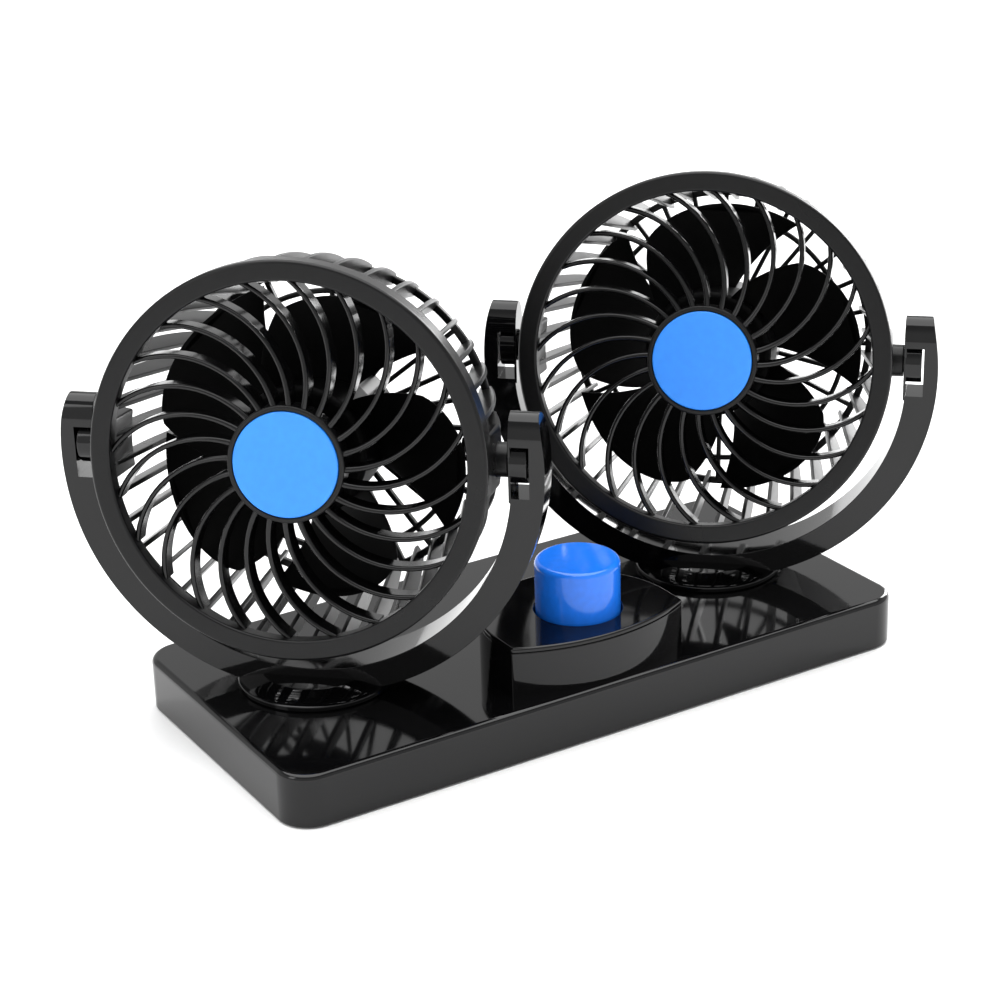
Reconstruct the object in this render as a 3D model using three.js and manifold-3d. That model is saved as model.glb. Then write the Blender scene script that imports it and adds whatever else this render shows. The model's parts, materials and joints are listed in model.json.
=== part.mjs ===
// A twin-headed dashboard fan: two caged fans on swivelling yokes, which stand on one flat base
// with a push button on a raised console. Millimetres, +Z up, front of the base towards -Y.
// The origin is under the middle of the base, on the surface that it stands on.

import * as THREE from "three";
import { mergeVertices } from "three/addons/utils/BufferGeometryUtils.js";
import Module from "manifold-3d";

const wasm = await Module();
wasm.setup();

// Fits that every piece shares
const fitGap = 0.3;
const cutOverrun = 1;
const joinDepth = 0.6;

// Base slab
const tableEndMargin = 13.9;
const baseDepth = 110;
const baseHeight = 18.2;
const baseCornerRadius = 11;
const baseEdgeRadius = 1.5;
const shellWall = 2.2;
const shellTopThickness = 2.4;

// Base underside
const padStandsProud = 0.5;
const padThickness = 1.4;
const padMarginEnds = 22;
const padMarginSides = 15;
const padCornerRadius = 6;
const plateThickness = 3;
const screwInset = 12;
const screwBossRadius = 3.6;
const screwHeadRadius = 3;
const screwHeadHeight = 1.3;
const screwShankRadius = 1.2;
const screwLength = 9;

// Console: flat sides, a round rear end and a bowed front
const consoleHalfWidth = 33;
const consoleDepth = 52;
const consoleFrontMargin = 3;
const consoleFrontRadius = 69;
const consoleRise = 16.3;
const panelThickness = 1.5;
const panelEdgeRadius = 0.9;
const panelSkirtDepth = 3.6;
const panelSkirtWall = 1.6;

// Push button and what is under it
const buttonRadius = 14;
const buttonRise = 17.5;
const buttonSideStep = 1.5;
const buttonSetback = 3.7;
const buttonEdgeRadius = 1.6;
const buttonWall = 1.8;
const buttonSkirtDepth = 4;
const buttonTravel = 2.5;
const buttonHoleGap = 0.4;
const socketRadius = 4;
const socketDepth = 10;
const plungerRadius = 2.3;
const plungerReach = 4;
const switchWidth = 13;
const switchHeight = 16;
const boardLength = 60;
const boardWidth = 36;
const boardThickness = 1.6;
const boardPostRadius = 2.5;
const boardPostHeight = 4.2;
const boardPostInset = 4;
const resistorLength = 22;
const resistorWidth = 9;
const resistorSwitchGap = 7.5;

// Cord inlet in the rear wall
const inletRadius = 4.3;
const inletBore = 2;
const inletFlangeRadius = 6;
const inletFlangeThickness = 1.5;
const inletInnerLip = 1.2;

// Where the two fans stand and how they point at rest
const yokeRunSpacing = 1;
const fanSetback = 3.8;
const leftSwivelDegrees = -43;
const rightSwivelDegrees = -43.4;
const leftTiltDegrees = 7.5;
const rightTiltDegrees = 10.9;

// Turntable and its spindle
const tableRadius = 25.5;
const tableRimThickness = 1.5;
const tableRise = 2.4;
const tableFlareRadius = 17;
const tableFlarePower = 0.6;
const spindleRadius = 9;
const frictionWasherThickness = 1.2;
const washerRadius = 13;
const washerThickness = 1.5;
const spindleScrewHeadRadius = 5;
const spindleScrewHeadHeight = 2.4;
const spindleScrewRadius = 2.2;
const spindleScrewBite = 3;

// Yoke: a U of two circles, the inner one lower than the outer one, with a bearing drum in each window
const yokeDepth = 12.4;
const yokeFootDepth = 17;
const yokeRunGap = 4.15;
const yokeArmThickness = 10.6;
const yokeOuterDrop = 2.9;
const yokeInnerDrop = 5;
const yokeSeatThickness = 4.7;
const yokeSeatRise = 0.5;
const armCrown = 9.5;
const armBossGap = 3.3;
const armBossFoot = 1.5;
const windowWall = 0.8;
const windowWidth = 5.8;
const windowTop = 6.4;
const drumRadius = 7;
const drumFootGap = 3.5;
const drumEndGap = 0.7;
const drumEndWall = 1.2;

// Tilt pins: a collar beside the cage and a journal in the drum of the arm
const pinCollarRadius = 5.45;
const pinJournalRadius = 4;
const pinShankRadius = 3;
const pinCollarSeat = 2;

// Front ring and grille of a head, measured forward from the plane of the tilt axis
const faceReach = 19.7;
const ringOuterRadius = 62.85;
const ringWidth = 6.45;
const ringDepth = 5.4;
const ringFaceThickness = 1.8;
const ringOuterWall = 1.85;
const ringInnerWall = 1.6;
const vaneCount = 24;
const vaneThickness = 1.6;
const vaneDepth = 6.8;
const vaneRootSink = 0.5;
const vaneTipSink = 2.7;
const vaneSweepDegrees = 31.5;
const vaneStartDegrees = 12;
const vaneBow = 7.5;
const hubRadius = 18.5;
const hubWall = 1.5;
const hubDepth = 7;
const hubFloorThickness = 2;
const hubRimWidth = 1.84;
const discThickness = 2.1;
const discStandsProud = 0.7;
const discStemRadius = 2;
const discStemLength = 3.4;

// Rear cage of a head: side fins that bow inward to a band, and a flat guard of ribs behind
const hoopDepth = 3;
const finCount = 40;
const finThickness = 1.6;
const finStartDegrees = 5;
const finCrestDrop = 0.4;
const finRearWidth = 2.8;
const finDraw = 8.4;
const finTipRound = 1;
const cageDepth = 52.5;
const guardInset = 2;
const bandTipInset = 1;
const bandWidth = 2.4;
const ribCount = 28;
const ribInlay = 0.2;
const ribDepth = 2.6;
const innerHoopInset = 8.1;
const innerHoopWidth = 1.8;
const tubeWall = 2.75;
const mountReach = -22;
const padHalfHeight = 10;
const padRearReach = -6;
const padDepth = 4.4;

// Motor, its cover and its screws
const motorRadius = 13.85;
const motorLength = 16;
const motorBossRadius = 5;
const motorBossLength = 1.8;
const motorShaftRadius = 1.15;
const motorShaftSeat = 6;
const motorScrewSpacing = 16;
const motorScrewHeadRadius = 2.4;
const motorScrewHeadHeight = 1.5;
const motorScrewRadius = 1.2;
const motorScrewBite = 3;
const coverWall = 1.7;
const coverSpigotDepth = 5.5;
const coverSpigotWall = 1.8;
const coverEndGap = 2.5;
const coverEdgeRadius = 4;
const wireHoleRadius = 2.5;

// Rotor
const bladeCount = 5;
const bladeTipGap = 7.5;
const bladeThickness = 1.5;
const bladeFrontReach = 4.4;
const bladeRearReach = -18;
const bladeRootRearDegrees = 4;
const bladeTipRearDegrees = -11.5;
const bladeRootFrontDegrees = 72.5;
const bladeTipFrontDegrees = 50;
const bladeCornerShare = 0.22;
const bladeCornerPower = 4;
const rotorCupRadius = 21.5;
const rotorCupWall = 1.8;
const rotorFrontReach = 5;
const rotorRearReach = -18.8;
const rotorBossRadius = 4;
const leftRotorDegrees = -23.4;
const rightRotorDegrees = -3;

// How finely round shapes are cut
const roundSides = 20;
const smallSides = 8;
const pinSides = 12;
const cornerSteps = 4;
const consoleRearSteps = 12;
const edgeSteps = 2;
const capEdgeSteps = 3;
const flareSteps = 3;
const yokeSteps = 28;
const finSteps = 2;
const vaneSteps = 3;
const bladeStepsAcross = 4;
const bladeStepsOut = 2;
const surfaceTolerance = 0.02;

// Heights and places that follow from the sizes above
const yokeInnerRadius = ringOuterRadius + yokeRunGap;
const yokeOuterRadius = yokeInnerRadius + yokeArmThickness;
const fanSpacing = 2 * yokeOuterRadius + yokeRunSpacing;
const baseLength = fanSpacing + 2 * (tableRadius + tableEndMargin);
const consoleHeight = baseHeight + consoleRise;
const buttonHeight = consoleHeight + buttonRise;
const shellUnderside = baseHeight - shellTopThickness;
const rimHeight = padStandsProud;
const plateTop = rimHeight + plateThickness;
const panelUnderside = consoleHeight - panelThickness;
const consoleWallTop = panelUnderside - fitGap;
const consoleFrontY = -baseDepth / 2 + consoleFrontMargin;
const consoleCentreY = consoleFrontY + consoleDepth - consoleHalfWidth;
const buttonX = buttonSideStep;
const buttonY = consoleCentreY + buttonSetback;
const buttonHoleRadius = buttonRadius + buttonHoleGap;
const boardUnderside = plateTop + boardPostHeight + fitGap;
const switchUnderside = boardUnderside + boardThickness + fitGap;
const switchTop = switchUnderside + switchHeight;
const socketTop = buttonHeight - buttonWall;
const tableUnderside = baseHeight + fitGap;
const tableRimTop = tableUnderside + tableRimThickness;
const tableTop = tableRimTop + tableRise;
const frictionWasherTop = shellUnderside - fitGap;
const spindleBottom = frictionWasherTop - frictionWasherThickness;
const washerTop = spindleBottom - fitGap;
const screwHeadTop = washerTop - washerThickness - fitGap;
const yokeSeat = tableRimTop + yokeSeatRise;
const tiltAxisHeight = yokeSeat + yokeSeatThickness + yokeInnerRadius + yokeInnerDrop;
const windowBottom = drumRadius + drumFootGap;
const armRise = windowTop + armCrown;
const armBossDrop = windowBottom + armBossFoot;
const armInnerFace = ringOuterRadius + armBossGap;
const windowInner = armInnerFace + windowWall;
const windowOuter = windowInner + windowWidth;
const drumEnd = windowOuter - drumEndGap;
const journalEnd = drumEnd - drumEndWall;
const ringParting = faceReach - ringDepth;
const hoopFront = ringParting - fitGap;
const hoopRear = hoopFront - hoopDepth;
const hoopOuterRadius = ringOuterRadius - fitGap;
const ringInnerRadius = ringOuterRadius - ringWidth;
const finCrestRadius = hoopOuterRadius - finCrestDrop;
const cageRear = hoopRear - cageDepth;
const guardRear = cageRear + guardInset;
const bandOuterRadius = finCrestRadius - finDraw - bandTipInset + fitGap;
const bandInnerRadius = bandOuterRadius - bandWidth;
const innerHoopOuterRadius = bandInnerRadius - innerHoopInset + innerHoopWidth;
const discRadius = hubRadius - hubRimWidth;
const hoopInnerRadius = ringInnerRadius + ringInnerWall + fitGap;
const bladeTipRadius = hoopInnerRadius - bladeTipGap;
const hubFront = faceReach + fitGap;
const discFront = faceReach + discStandsProud;
const discRear = discFront - discThickness;
const motorFront = mountReach - fitGap;
const motorRear = motorFront - motorLength;
const grilleSides = 2 * vaneCount;
const coverInnerRadius = motorRadius + fitGap + coverSpigotWall + fitGap;
const coverOuterRadius = coverInnerRadius + coverWall;
const tubeInnerRadius = coverOuterRadius + fitGap;
const tubeOuterRadius = tubeInnerRadius + tubeWall;

const materials = {
  glossBlack: new THREE.MeshStandardMaterial({ color: 0x0b0b0d, roughness: 0.12, metalness: 0 }),
  satinBlack: new THREE.MeshStandardMaterial({ color: 0x141416, roughness: 0.38, metalness: 0 }),
  blueSatin: new THREE.MeshStandardMaterial({ color: 0x3f93f5, roughness: 0.4, metalness: 0 }),
  blueGloss: new THREE.MeshStandardMaterial({ color: 0x2f86f0, roughness: 0.15, metalness: 0 }),
  rubber: new THREE.MeshStandardMaterial({ color: 0x1a1a1a, roughness: 0.85, metalness: 0 }),
  steel: new THREE.MeshStandardMaterial({ color: 0xb9bcc0, roughness: 0.3, metalness: 1 }),
  ceramic: new THREE.MeshStandardMaterial({ color: 0xe6e2d8, roughness: 0.7, metalness: 0 }),
  board: new THREE.MeshStandardMaterial({ color: 0x1f5b34, roughness: 0.5, metalness: 0 }),
};

const axisX = new THREE.Vector3(1, 0, 0);
const axisY = new THREE.Vector3(0, 1, 0);
const axisZ = new THREE.Vector3(0, 0, 1);

function radians(degrees) {
  return THREE.MathUtils.degToRad(degrees);
}

// A closed solid from any closed geometry, with doubled corners merged and its faces turned outward
function solidOf(geometry) {
  const bare = geometry.clone();
  bare.deleteAttribute("normal");
  bare.deleteAttribute("uv");
  const merged = mergeVertices(bare);
  const kept = [];
  const index = merged.index.array;
  for (let i = 0; i < index.length; i += 3) {
    const [a, b, c] = [index[i], index[i + 1], index[i + 2]];
    if (a !== b && b !== c && c !== a) kept.push(a, b, c);
  }
  const places = merged.attributes.position.array;
  if (enclosedVolume(places, kept) < 0) kept.reverse();
  const mesh = new wasm.Mesh({
    numProp: 3,
    vertProperties: new Float32Array(places),
    triVerts: new Uint32Array(kept),
  });
  return new wasm.Manifold(mesh);
}

function enclosedVolume(places, index) {
  const corners = [new THREE.Vector3(), new THREE.Vector3(), new THREE.Vector3()];
  let sum = 0;
  for (let i = 0; i < index.length; i += 3) {
    corners.forEach((corner, k) => corner.fromArray(places, index[i + k] * 3));
    sum += corners[0].dot(corners[1].clone().cross(corners[2]));
  }
  return sum;
}

function geometryOf(solid) {
  const mesh = solid.asOriginal().simplify(surfaceTolerance).getMesh();
  const geometry = new THREE.BufferGeometry();
  geometry.setAttribute("position", new THREE.BufferAttribute(new Float32Array(mesh.vertProperties), 3));
  geometry.setIndex(new THREE.BufferAttribute(new Uint32Array(mesh.triVerts), 1));
  geometry.computeVertexNormals();
  return geometry;
}

function joined(solids) {
  return solids.reduce((sum, solid) => sum.add(solid));
}

function cutBy(solid, cutters) {
  return cutters.reduce((left, cutter) => left.subtract(cutter), solid);
}

function addPiece(group, name, solid, material) {
  const mesh = new THREE.Mesh(geometryOf(solid), material);
  mesh.name = name;
  group.add(mesh);
}

// A solid of revolution about Z from a closed outline of [radius, height] corners
function turned(corners, sides = roundSides) {
  const closed = [...corners, corners[0]];
  const geometry = new THREE.LatheGeometry(closed.map(([r, z]) => new THREE.Vector2(r, z)), sides);
  geometry.rotateX(Math.PI / 2);
  return solidOf(geometry);
}

function cylinder(radius, low, high, sides = roundSides) {
  return turned([[0, low], [radius, low], [radius, high], [0, high]], sides);
}

function tube(inner, outer, low, high, sides = roundSides) {
  return turned([[inner, low], [outer, low], [outer, high], [inner, high]], sides);
}

function box(x0, x1, y0, y1, z0, z1) {
  const geometry = new THREE.BoxGeometry(x1 - x0, y1 - y0, z1 - z0);
  geometry.translate((x0 + x1) / 2, (y0 + y1) / 2, (z0 + z1) / 2);
  return solidOf(geometry);
}

// A flat shape carried along one axis, centred on it
function alongZ(shape, length, steps = cornerSteps) {
  const options = { depth: length, bevelEnabled: false, curveSegments: steps };
  const geometry = new THREE.ExtrudeGeometry(shape, options);
  geometry.translate(0, 0, -length / 2);
  return geometry;
}

function alongY(shape, length, steps) {
  const turn = new THREE.Matrix4().makeBasis(axisX, axisZ, axisY.clone().negate());
  return solidOf(alongZ(shape, length, steps).applyMatrix4(turn));
}

function alongX(shape, length, steps) {
  const turn = new THREE.Matrix4().makeBasis(axisY, axisZ, axisX);
  return solidOf(alongZ(shape, length, steps).applyMatrix4(turn));
}

function polygon(corners) {
  return new THREE.Shape(corners.map(([x, y]) => new THREE.Vector2(x, y)));
}

function arc(x, y, radius, from, to, steps) {
  const points = [];
  for (let i = 0; i <= steps; i++) {
    const angle = from + ((to - from) * i) / steps;
    points.push([x + radius * Math.cos(angle), y + radius * Math.sin(angle)]);
  }
  return points;
}

// An outline drawn at several heights, each drawn in by its own inset, skinned into one solid
function stacked(outlineAt, levels) {
  const rings = levels.map(([inset, z]) => outlineAt(inset).map(([x, y]) => [x, y, z]));
  const count = rings[0].length;
  const places = rings.flat(2);
  const index = [];
  for (let level = 0; level + 1 < rings.length; level++) {
    for (let i = 0; i < count; i++) {
      const here = level * count + i;
      const next = level * count + ((i + 1) % count);
      index.push(here, next, next + count, here, next + count, here + count);
    }
  }
  const flat = (ring) => ring.map(([x, y]) => new THREE.Vector2(x, y));
  const capOf = (ring) => THREE.ShapeUtils.triangulateShape(flat(ring), []);
  const top = (rings.length - 1) * count;
  capOf(rings[0]).forEach(([a, b, c]) => index.push(c, b, a));
  capOf(rings[rings.length - 1]).forEach(([a, b, c]) => index.push(a + top, b + top, c + top));
  const geometry = new THREE.BufferGeometry();
  geometry.setAttribute("position", new THREE.Float32BufferAttribute(places, 3));
  geometry.setIndex(index);
  return solidOf(geometry);
}

function roundedRectangle(length, width, radius) {
  return (inset) => {
    const x = length / 2 - radius;
    const y = width / 2 - radius;
    const r = radius - inset;
    const quarter = Math.PI / 2;
    return [
      ...arc(x, -y, r, -quarter, 0, cornerSteps),
      ...arc(x, y, r, 0, quarter, cornerSteps),
      ...arc(-x, y, r, quarter, 2 * quarter, cornerSteps),
      ...arc(-x, -y, r, 2 * quarter, 3 * quarter, cornerSteps),
    ];
  };
}

// Levels of a wall that rises straight and ends in a quarter-round edge
function roundedTop(inset, low, high, radius, steps) {
  const levels = [[inset, low]];
  for (let i = 0; i <= steps; i++) {
    const angle = (Math.PI / 2) * (i / steps);
    levels.push([inset + radius * (1 - Math.cos(angle)), high - radius * (1 - Math.sin(angle))]);
  }
  return levels;
}

// The console's outline seen from above: round behind, straight sides, bowed in front
function consoleOutline(inset) {
  const half = consoleHalfWidth - inset;
  const frontRadius = consoleFrontRadius - inset;
  const frontCentreY = consoleFrontY + consoleFrontRadius;
  const lean = Math.asin(half / frontRadius);
  return [
    ...arc(0, consoleCentreY, half, 0, Math.PI, consoleRearSteps),
    ...arc(0, frontCentreY, frontRadius, -Math.PI / 2 - lean, -Math.PI / 2 + lean, cornerSteps),
  ];
}

function screwPlaces() {
  const x = baseLength / 2 - screwInset;
  const y = baseDepth / 2 - screwInset;
  return [[-x, -y], [x, -y], [x, y], [-x, y]];
}

function fanX(side) {
  return (side * fanSpacing) / 2;
}

function baseShell() {
  const slab = roundedRectangle(baseLength, baseDepth, baseCornerRadius);
  const outside = stacked(slab, roundedTop(0, rimHeight, baseHeight, baseEdgeRadius, edgeSteps));
  const hollow = stacked(slab, [[shellWall, rimHeight - cutOverrun], [shellWall, shellUnderside]]);
  const consoleOutside = stacked(consoleOutline, [[0, shellUnderside + joinDepth], [0, consoleWallTop]]);
  const consoleHollow = stacked(consoleOutline, [
    [shellWall, shellUnderside - cutOverrun],
    [shellWall, consoleWallTop + cutOverrun],
  ]);
  const bosses = screwPlaces().map(([x, y]) => {
    const boss = cylinder(screwBossRadius, plateTop + fitGap, shellUnderside + joinDepth, smallSides);
    return boss.translate([x, y, 0]);
  });
  const pilots = screwPlaces().map(([x, y]) => {
    const top = plateTop + screwLength;
    return cylinder(screwShankRadius + fitGap, plateTop - cutOverrun, top, smallSides).translate([x, y, 0]);
  });
  const bores = [-1, 1].map((side) => {
    const bore = cylinder(spindleRadius + fitGap, shellUnderside - cutOverrun, baseHeight + cutOverrun);
    return bore.translate([fanX(side), fanSetback, 0]);
  });
  const walls = joined([outside, consoleOutside]).subtract(hollow).subtract(consoleHollow);
  return cutBy(joined([walls, ...bosses]), [...pilots, ...bores, inletHole()]);
}

function inletHeight() {
  return (plateTop + shellUnderside) / 2;
}

function facingRear(solid) {
  return solid.rotate([-90, 0, 0]).translate([0, baseDepth / 2, inletHeight()]);
}

function inletHole() {
  return facingRear(cylinder(inletRadius + fitGap, -shellWall - cutOverrun, cutOverrun, smallSides));
}

function cordInlet() {
  const innerEnd = -shellWall - fitGap - inletInnerLip;
  const flangeStart = fitGap;
  const flangeEnd = fitGap + inletFlangeThickness;
  return facingRear(turned([
    [inletBore, innerEnd],
    [inletRadius, innerEnd],
    [inletRadius, flangeStart],
    [inletFlangeRadius, flangeStart],
    [inletFlangeRadius, flangeEnd],
    [inletBore, flangeEnd],
  ], smallSides));
}

function padOutline() {
  return roundedRectangle(baseLength - 2 * padMarginEnds, baseDepth - 2 * padMarginSides, padCornerRadius);
}

function basePlate() {
  const slab = roundedRectangle(baseLength, baseDepth, baseCornerRadius);
  const edge = shellWall + fitGap;
  const plate = stacked(slab, [[edge, rimHeight], [edge, plateTop]]);
  const pocket = stacked(padOutline(), [
    [-fitGap, rimHeight - cutOverrun],
    [-fitGap, padThickness + fitGap],
  ]);
  const posts = boardPostPlaces().map(([x, y]) => {
    const post = cylinder(boardPostRadius, plateTop - joinDepth, plateTop + boardPostHeight, smallSides);
    return post.translate([x, y, 0]);
  });
  const sinkTop = rimHeight + fitGap + screwHeadHeight + fitGap;
  const holes = screwPlaces().flatMap(([x, y]) => [
    cylinder(screwHeadRadius + fitGap, rimHeight - cutOverrun, sinkTop, smallSides).translate([x, y, 0]),
    cylinder(screwShankRadius + fitGap, rimHeight, plateTop + cutOverrun, smallSides).translate([x, y, 0]),
  ]);
  return cutBy(joined([plate, ...posts]), [pocket, ...holes]);
}

function gripPad() {
  return stacked(padOutline(), [[0, 0], [0, padThickness]]);
}

function plateScrew([x, y]) {
  const low = rimHeight + fitGap;
  const neck = low + screwHeadHeight;
  const tip = plateTop + screwLength - fitGap;
  return turned([
    [0, low],
    [screwHeadRadius, low],
    [screwHeadRadius, neck],
    [screwShankRadius, neck],
    [screwShankRadius, tip],
    [0, tip],
  ], smallSides).translate([x, y, 0]);
}

function switchPanel() {
  const lidLevels = roundedTop(0, panelUnderside, consoleHeight, panelEdgeRadius, edgeSteps);
  const lid = stacked(consoleOutline, lidLevels);
  const skirtInset = shellWall + fitGap;
  const skirtBottom = panelUnderside - panelSkirtDepth;
  const skirt = stacked(consoleOutline, [
    [skirtInset, skirtBottom],
    [skirtInset, panelUnderside + joinDepth],
  ]);
  const skirtHollow = stacked(consoleOutline, [
    [skirtInset + panelSkirtWall, skirtBottom - cutOverrun],
    [skirtInset + panelSkirtWall, panelUnderside],
  ]);
  const hole = cylinder(buttonHoleRadius, skirtBottom - cutOverrun, consoleHeight + cutOverrun);
  return joined([lid, skirt.subtract(skirtHollow)]).subtract(hole.translate([buttonX, buttonY, 0]));
}

function pushButton() {
  const skirtBottom = consoleHeight - buttonSkirtDepth;
  const inner = buttonRadius - buttonWall;
  const [edgeX, edgeZ] = [buttonRadius - buttonEdgeRadius, buttonHeight - buttonEdgeRadius];
  const edge = arc(edgeX, edgeZ, buttonEdgeRadius, 0, Math.PI / 2, capEdgeSteps);
  const cap = turned([[0, skirtBottom], [buttonRadius, skirtBottom], ...edge, [0, buttonHeight]]);
  const hollow = cylinder(inner, skirtBottom - cutOverrun, socketTop);
  const socket = tube(plungerRadius + fitGap, socketRadius, socketTop - socketDepth, socketTop + joinDepth,
    smallSides);
  return joined([cap.subtract(hollow), socket]).translate([buttonX, buttonY, 0]);
}

function switchPlunger() {
  const low = switchTop - plungerReach - buttonTravel;
  return cylinder(plungerRadius, low, socketTop - fitGap, smallSides).translate([buttonX, buttonY, 0]);
}

function switchBody() {
  const half = switchWidth / 2;
  const [x0, x1] = [buttonX - half, buttonX + half];
  const body = box(x0, x1, buttonY - half, buttonY + half, switchUnderside, switchTop);
  const wellBottom = switchTop - plungerReach - 2 * buttonTravel - fitGap;
  const well = cylinder(plungerRadius + fitGap, wellBottom, switchTop + cutOverrun, smallSides);
  return body.subtract(well.translate([buttonX, buttonY, 0]));
}

function boardPostPlaces() {
  const x = boardLength / 2 - boardPostInset;
  const y = boardWidth / 2 - boardPostInset;
  return [[-x, -y], [x, -y], [x, y], [-x, y]].map(([px, py]) => [px, py + buttonY]);
}

function circuitBoard() {
  const x = boardLength / 2;
  const y = boardWidth / 2;
  return box(-x, x, buttonY - y, buttonY + y, boardUnderside, boardUnderside + boardThickness);
}

function speedResistor() {
  const x0 = buttonX + switchWidth / 2 + resistorSwitchGap;
  const y0 = buttonY - resistorLength / 2;
  const low = boardUnderside + boardThickness + fitGap;
  return box(x0, x0 + resistorWidth, y0, y0 + resistorLength, low, low + resistorWidth);
}

// Turntable, yoke and spindle parts stand in a group at the foot of the swivel axis
function turntable() {
  const bore = spindleScrewRadius + fitGap;
  const flare = [];
  for (let i = 0; i <= flareSteps; i++) {
    const share = i / flareSteps;
    const radius = THREE.MathUtils.lerp(tableRadius, tableFlareRadius, share);
    flare.push([radius, tableRimTop + tableRise * Math.pow(share, tableFlarePower)]);
  }
  const disc = turned([
    [bore, spindleBottom],
    [spindleRadius, spindleBottom],
    [spindleRadius, tableUnderside],
    [tableRadius, tableUnderside],
    ...flare,
    [bore, tableTop],
  ]);
  const halfSlot = yokeFootDepth / 2 + fitGap;
  const slotLength = tableRadius + cutOverrun;
  const slotTop = tableTop + cutOverrun;
  return disc.subtract(box(-slotLength, slotLength, -halfSlot, halfSlot, yokeSeat - fitGap, slotTop));
}

function frictionWasher() {
  return tube(spindleRadius + fitGap, washerRadius, spindleBottom, frictionWasherTop);
}

function retainingWasher() {
  return tube(spindleScrewRadius + fitGap, washerRadius, washerTop - washerThickness, washerTop);
}

function spindleScrew() {
  return turned([
    [0, screwHeadTop - spindleScrewHeadHeight],
    [spindleScrewHeadRadius, screwHeadTop - spindleScrewHeadHeight],
    [spindleScrewHeadRadius, screwHeadTop],
    [spindleScrewRadius, screwHeadTop],
    [spindleScrewRadius, yokeSeat + spindleScrewBite],
    [0, yokeSeat + spindleScrewBite],
  ], smallSides);
}

// The U of the yoke, drawn about the tilt axis with x across and y up
function yokeOutline() {
  const outerTurn = Math.asin((armRise + yokeOuterDrop) / yokeOuterRadius);
  const innerTurn = Math.asin((yokeInnerDrop - armBossDrop) / yokeInnerRadius);
  return polygon([
    ...arc(0, -yokeOuterDrop, yokeOuterRadius, -Math.PI - outerTurn, outerTurn, yokeSteps),
    [armInnerFace, armRise],
    [armInnerFace, -armBossDrop],
    ...arc(0, -yokeInnerDrop, yokeInnerRadius, innerTurn, -Math.PI - innerTurn, yokeSteps),
    [-armInnerFace, -armBossDrop],
    [-armInnerFace, armRise],
  ]);
}

// The yoke seen from its side: wide at the foot, with straight arms and an oval top
function yokeSideOutline() {
  const shape = new THREE.Shape();
  const half = yokeDepth / 2;
  const footHalf = yokeFootDepth / 2;
  const bottom = yokeSeat - tiltAxisHeight;
  shape.moveTo(-footHalf, bottom);
  shape.lineTo(footHalf, bottom);
  shape.lineTo(half, -armBossDrop);
  shape.lineTo(half, windowTop);
  shape.absellipse(0, windowTop, half, armCrown, 0, Math.PI, false, 0);
  shape.lineTo(-half, -armBossDrop);
  shape.lineTo(-footHalf, bottom);
  return shape;
}

function yoke() {
  const band = alongY(yokeOutline(), yokeFootDepth + 2 * cutOverrun);
  const sides = alongX(yokeSideOutline(), 2 * (yokeOuterRadius + cutOverrun));
  const depthCut = yokeDepth / 2 + 2 * cutOverrun;
  const windows = [-1, 1].map((side) => {
    const [near, far] = [side * windowInner, side * windowOuter].sort((a, b) => a - b);
    return box(near, far, -depthCut, depthCut, -windowBottom, windowTop);
  });
  const drums = [-1, 1].map((side) => {
    return cylinder(drumRadius, windowInner - fitGap, drumEnd).rotate([0, side * 90, 0]);
  });
  const holeStart = armInnerFace - cutOverrun;
  const pinHoles = [-1, 1].map((side) => {
    const hole = cylinder(pinJournalRadius + fitGap, holeStart, journalEnd + fitGap, pinSides);
    return hole.rotate([0, side * 90, 0]);
  });
  const screwHole = cylinder(spindleScrewRadius + fitGap, yokeSeat - cutOverrun,
    yokeSeat + spindleScrewBite + fitGap, smallSides).translate([0, 0, -tiltAxisHeight]);
  const arms = joined([cutBy(band.intersect(sides), windows), ...drums]);
  const whole = cutBy(arms, [...pinHoles, screwHole]);
  return whole.translate([0, 0, tiltAxisHeight]);
}

// Head pieces stand in a group at the tilt axis, with x along that axis, y up and z to the front
function frontGrille() {
  const outerWallInside = ringOuterRadius - ringOuterWall;
  const innerWallOutside = ringInnerRadius + ringInnerWall;
  const ring = turned([
    [ringInnerRadius, ringParting],
    [innerWallOutside, ringParting],
    [innerWallOutside, faceReach - ringFaceThickness],
    [outerWallInside, faceReach - ringFaceThickness],
    [outerWallInside, ringParting],
    [ringOuterRadius, ringParting],
    [ringOuterRadius, faceReach],
    [ringInnerRadius, faceReach],
  ], grilleSides).rotate([0, 0, vaneStartDegrees + vaneSweepDegrees]);
  const recess = discRadius + fitGap;
  const recessFloor = discRear - fitGap;
  const floorRear = recessFloor - hubFloorThickness;
  const stemHole = discStemRadius + fitGap;
  const hub = turned([
    [stemHole, floorRear],
    [hubRadius - hubWall, floorRear],
    [hubRadius - hubWall, hubFront - hubDepth],
    [hubRadius, hubFront - hubDepth],
    [hubRadius, hubFront],
    [recess, hubFront],
    [recess, recessFloor],
    [stemHole, recessFloor],
  ], vaneCount).rotate([0, 0, vaneStartDegrees]);
  const vane = swirlVane();
  const vanes = [];
  for (let i = 0; i < vaneCount; i++) {
    vanes.push(vane.rotate([0, 0, vaneStartDegrees + (360 * i) / vaneCount]));
  }
  return joined([ring, hub, ...vanes]);
}

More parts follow.
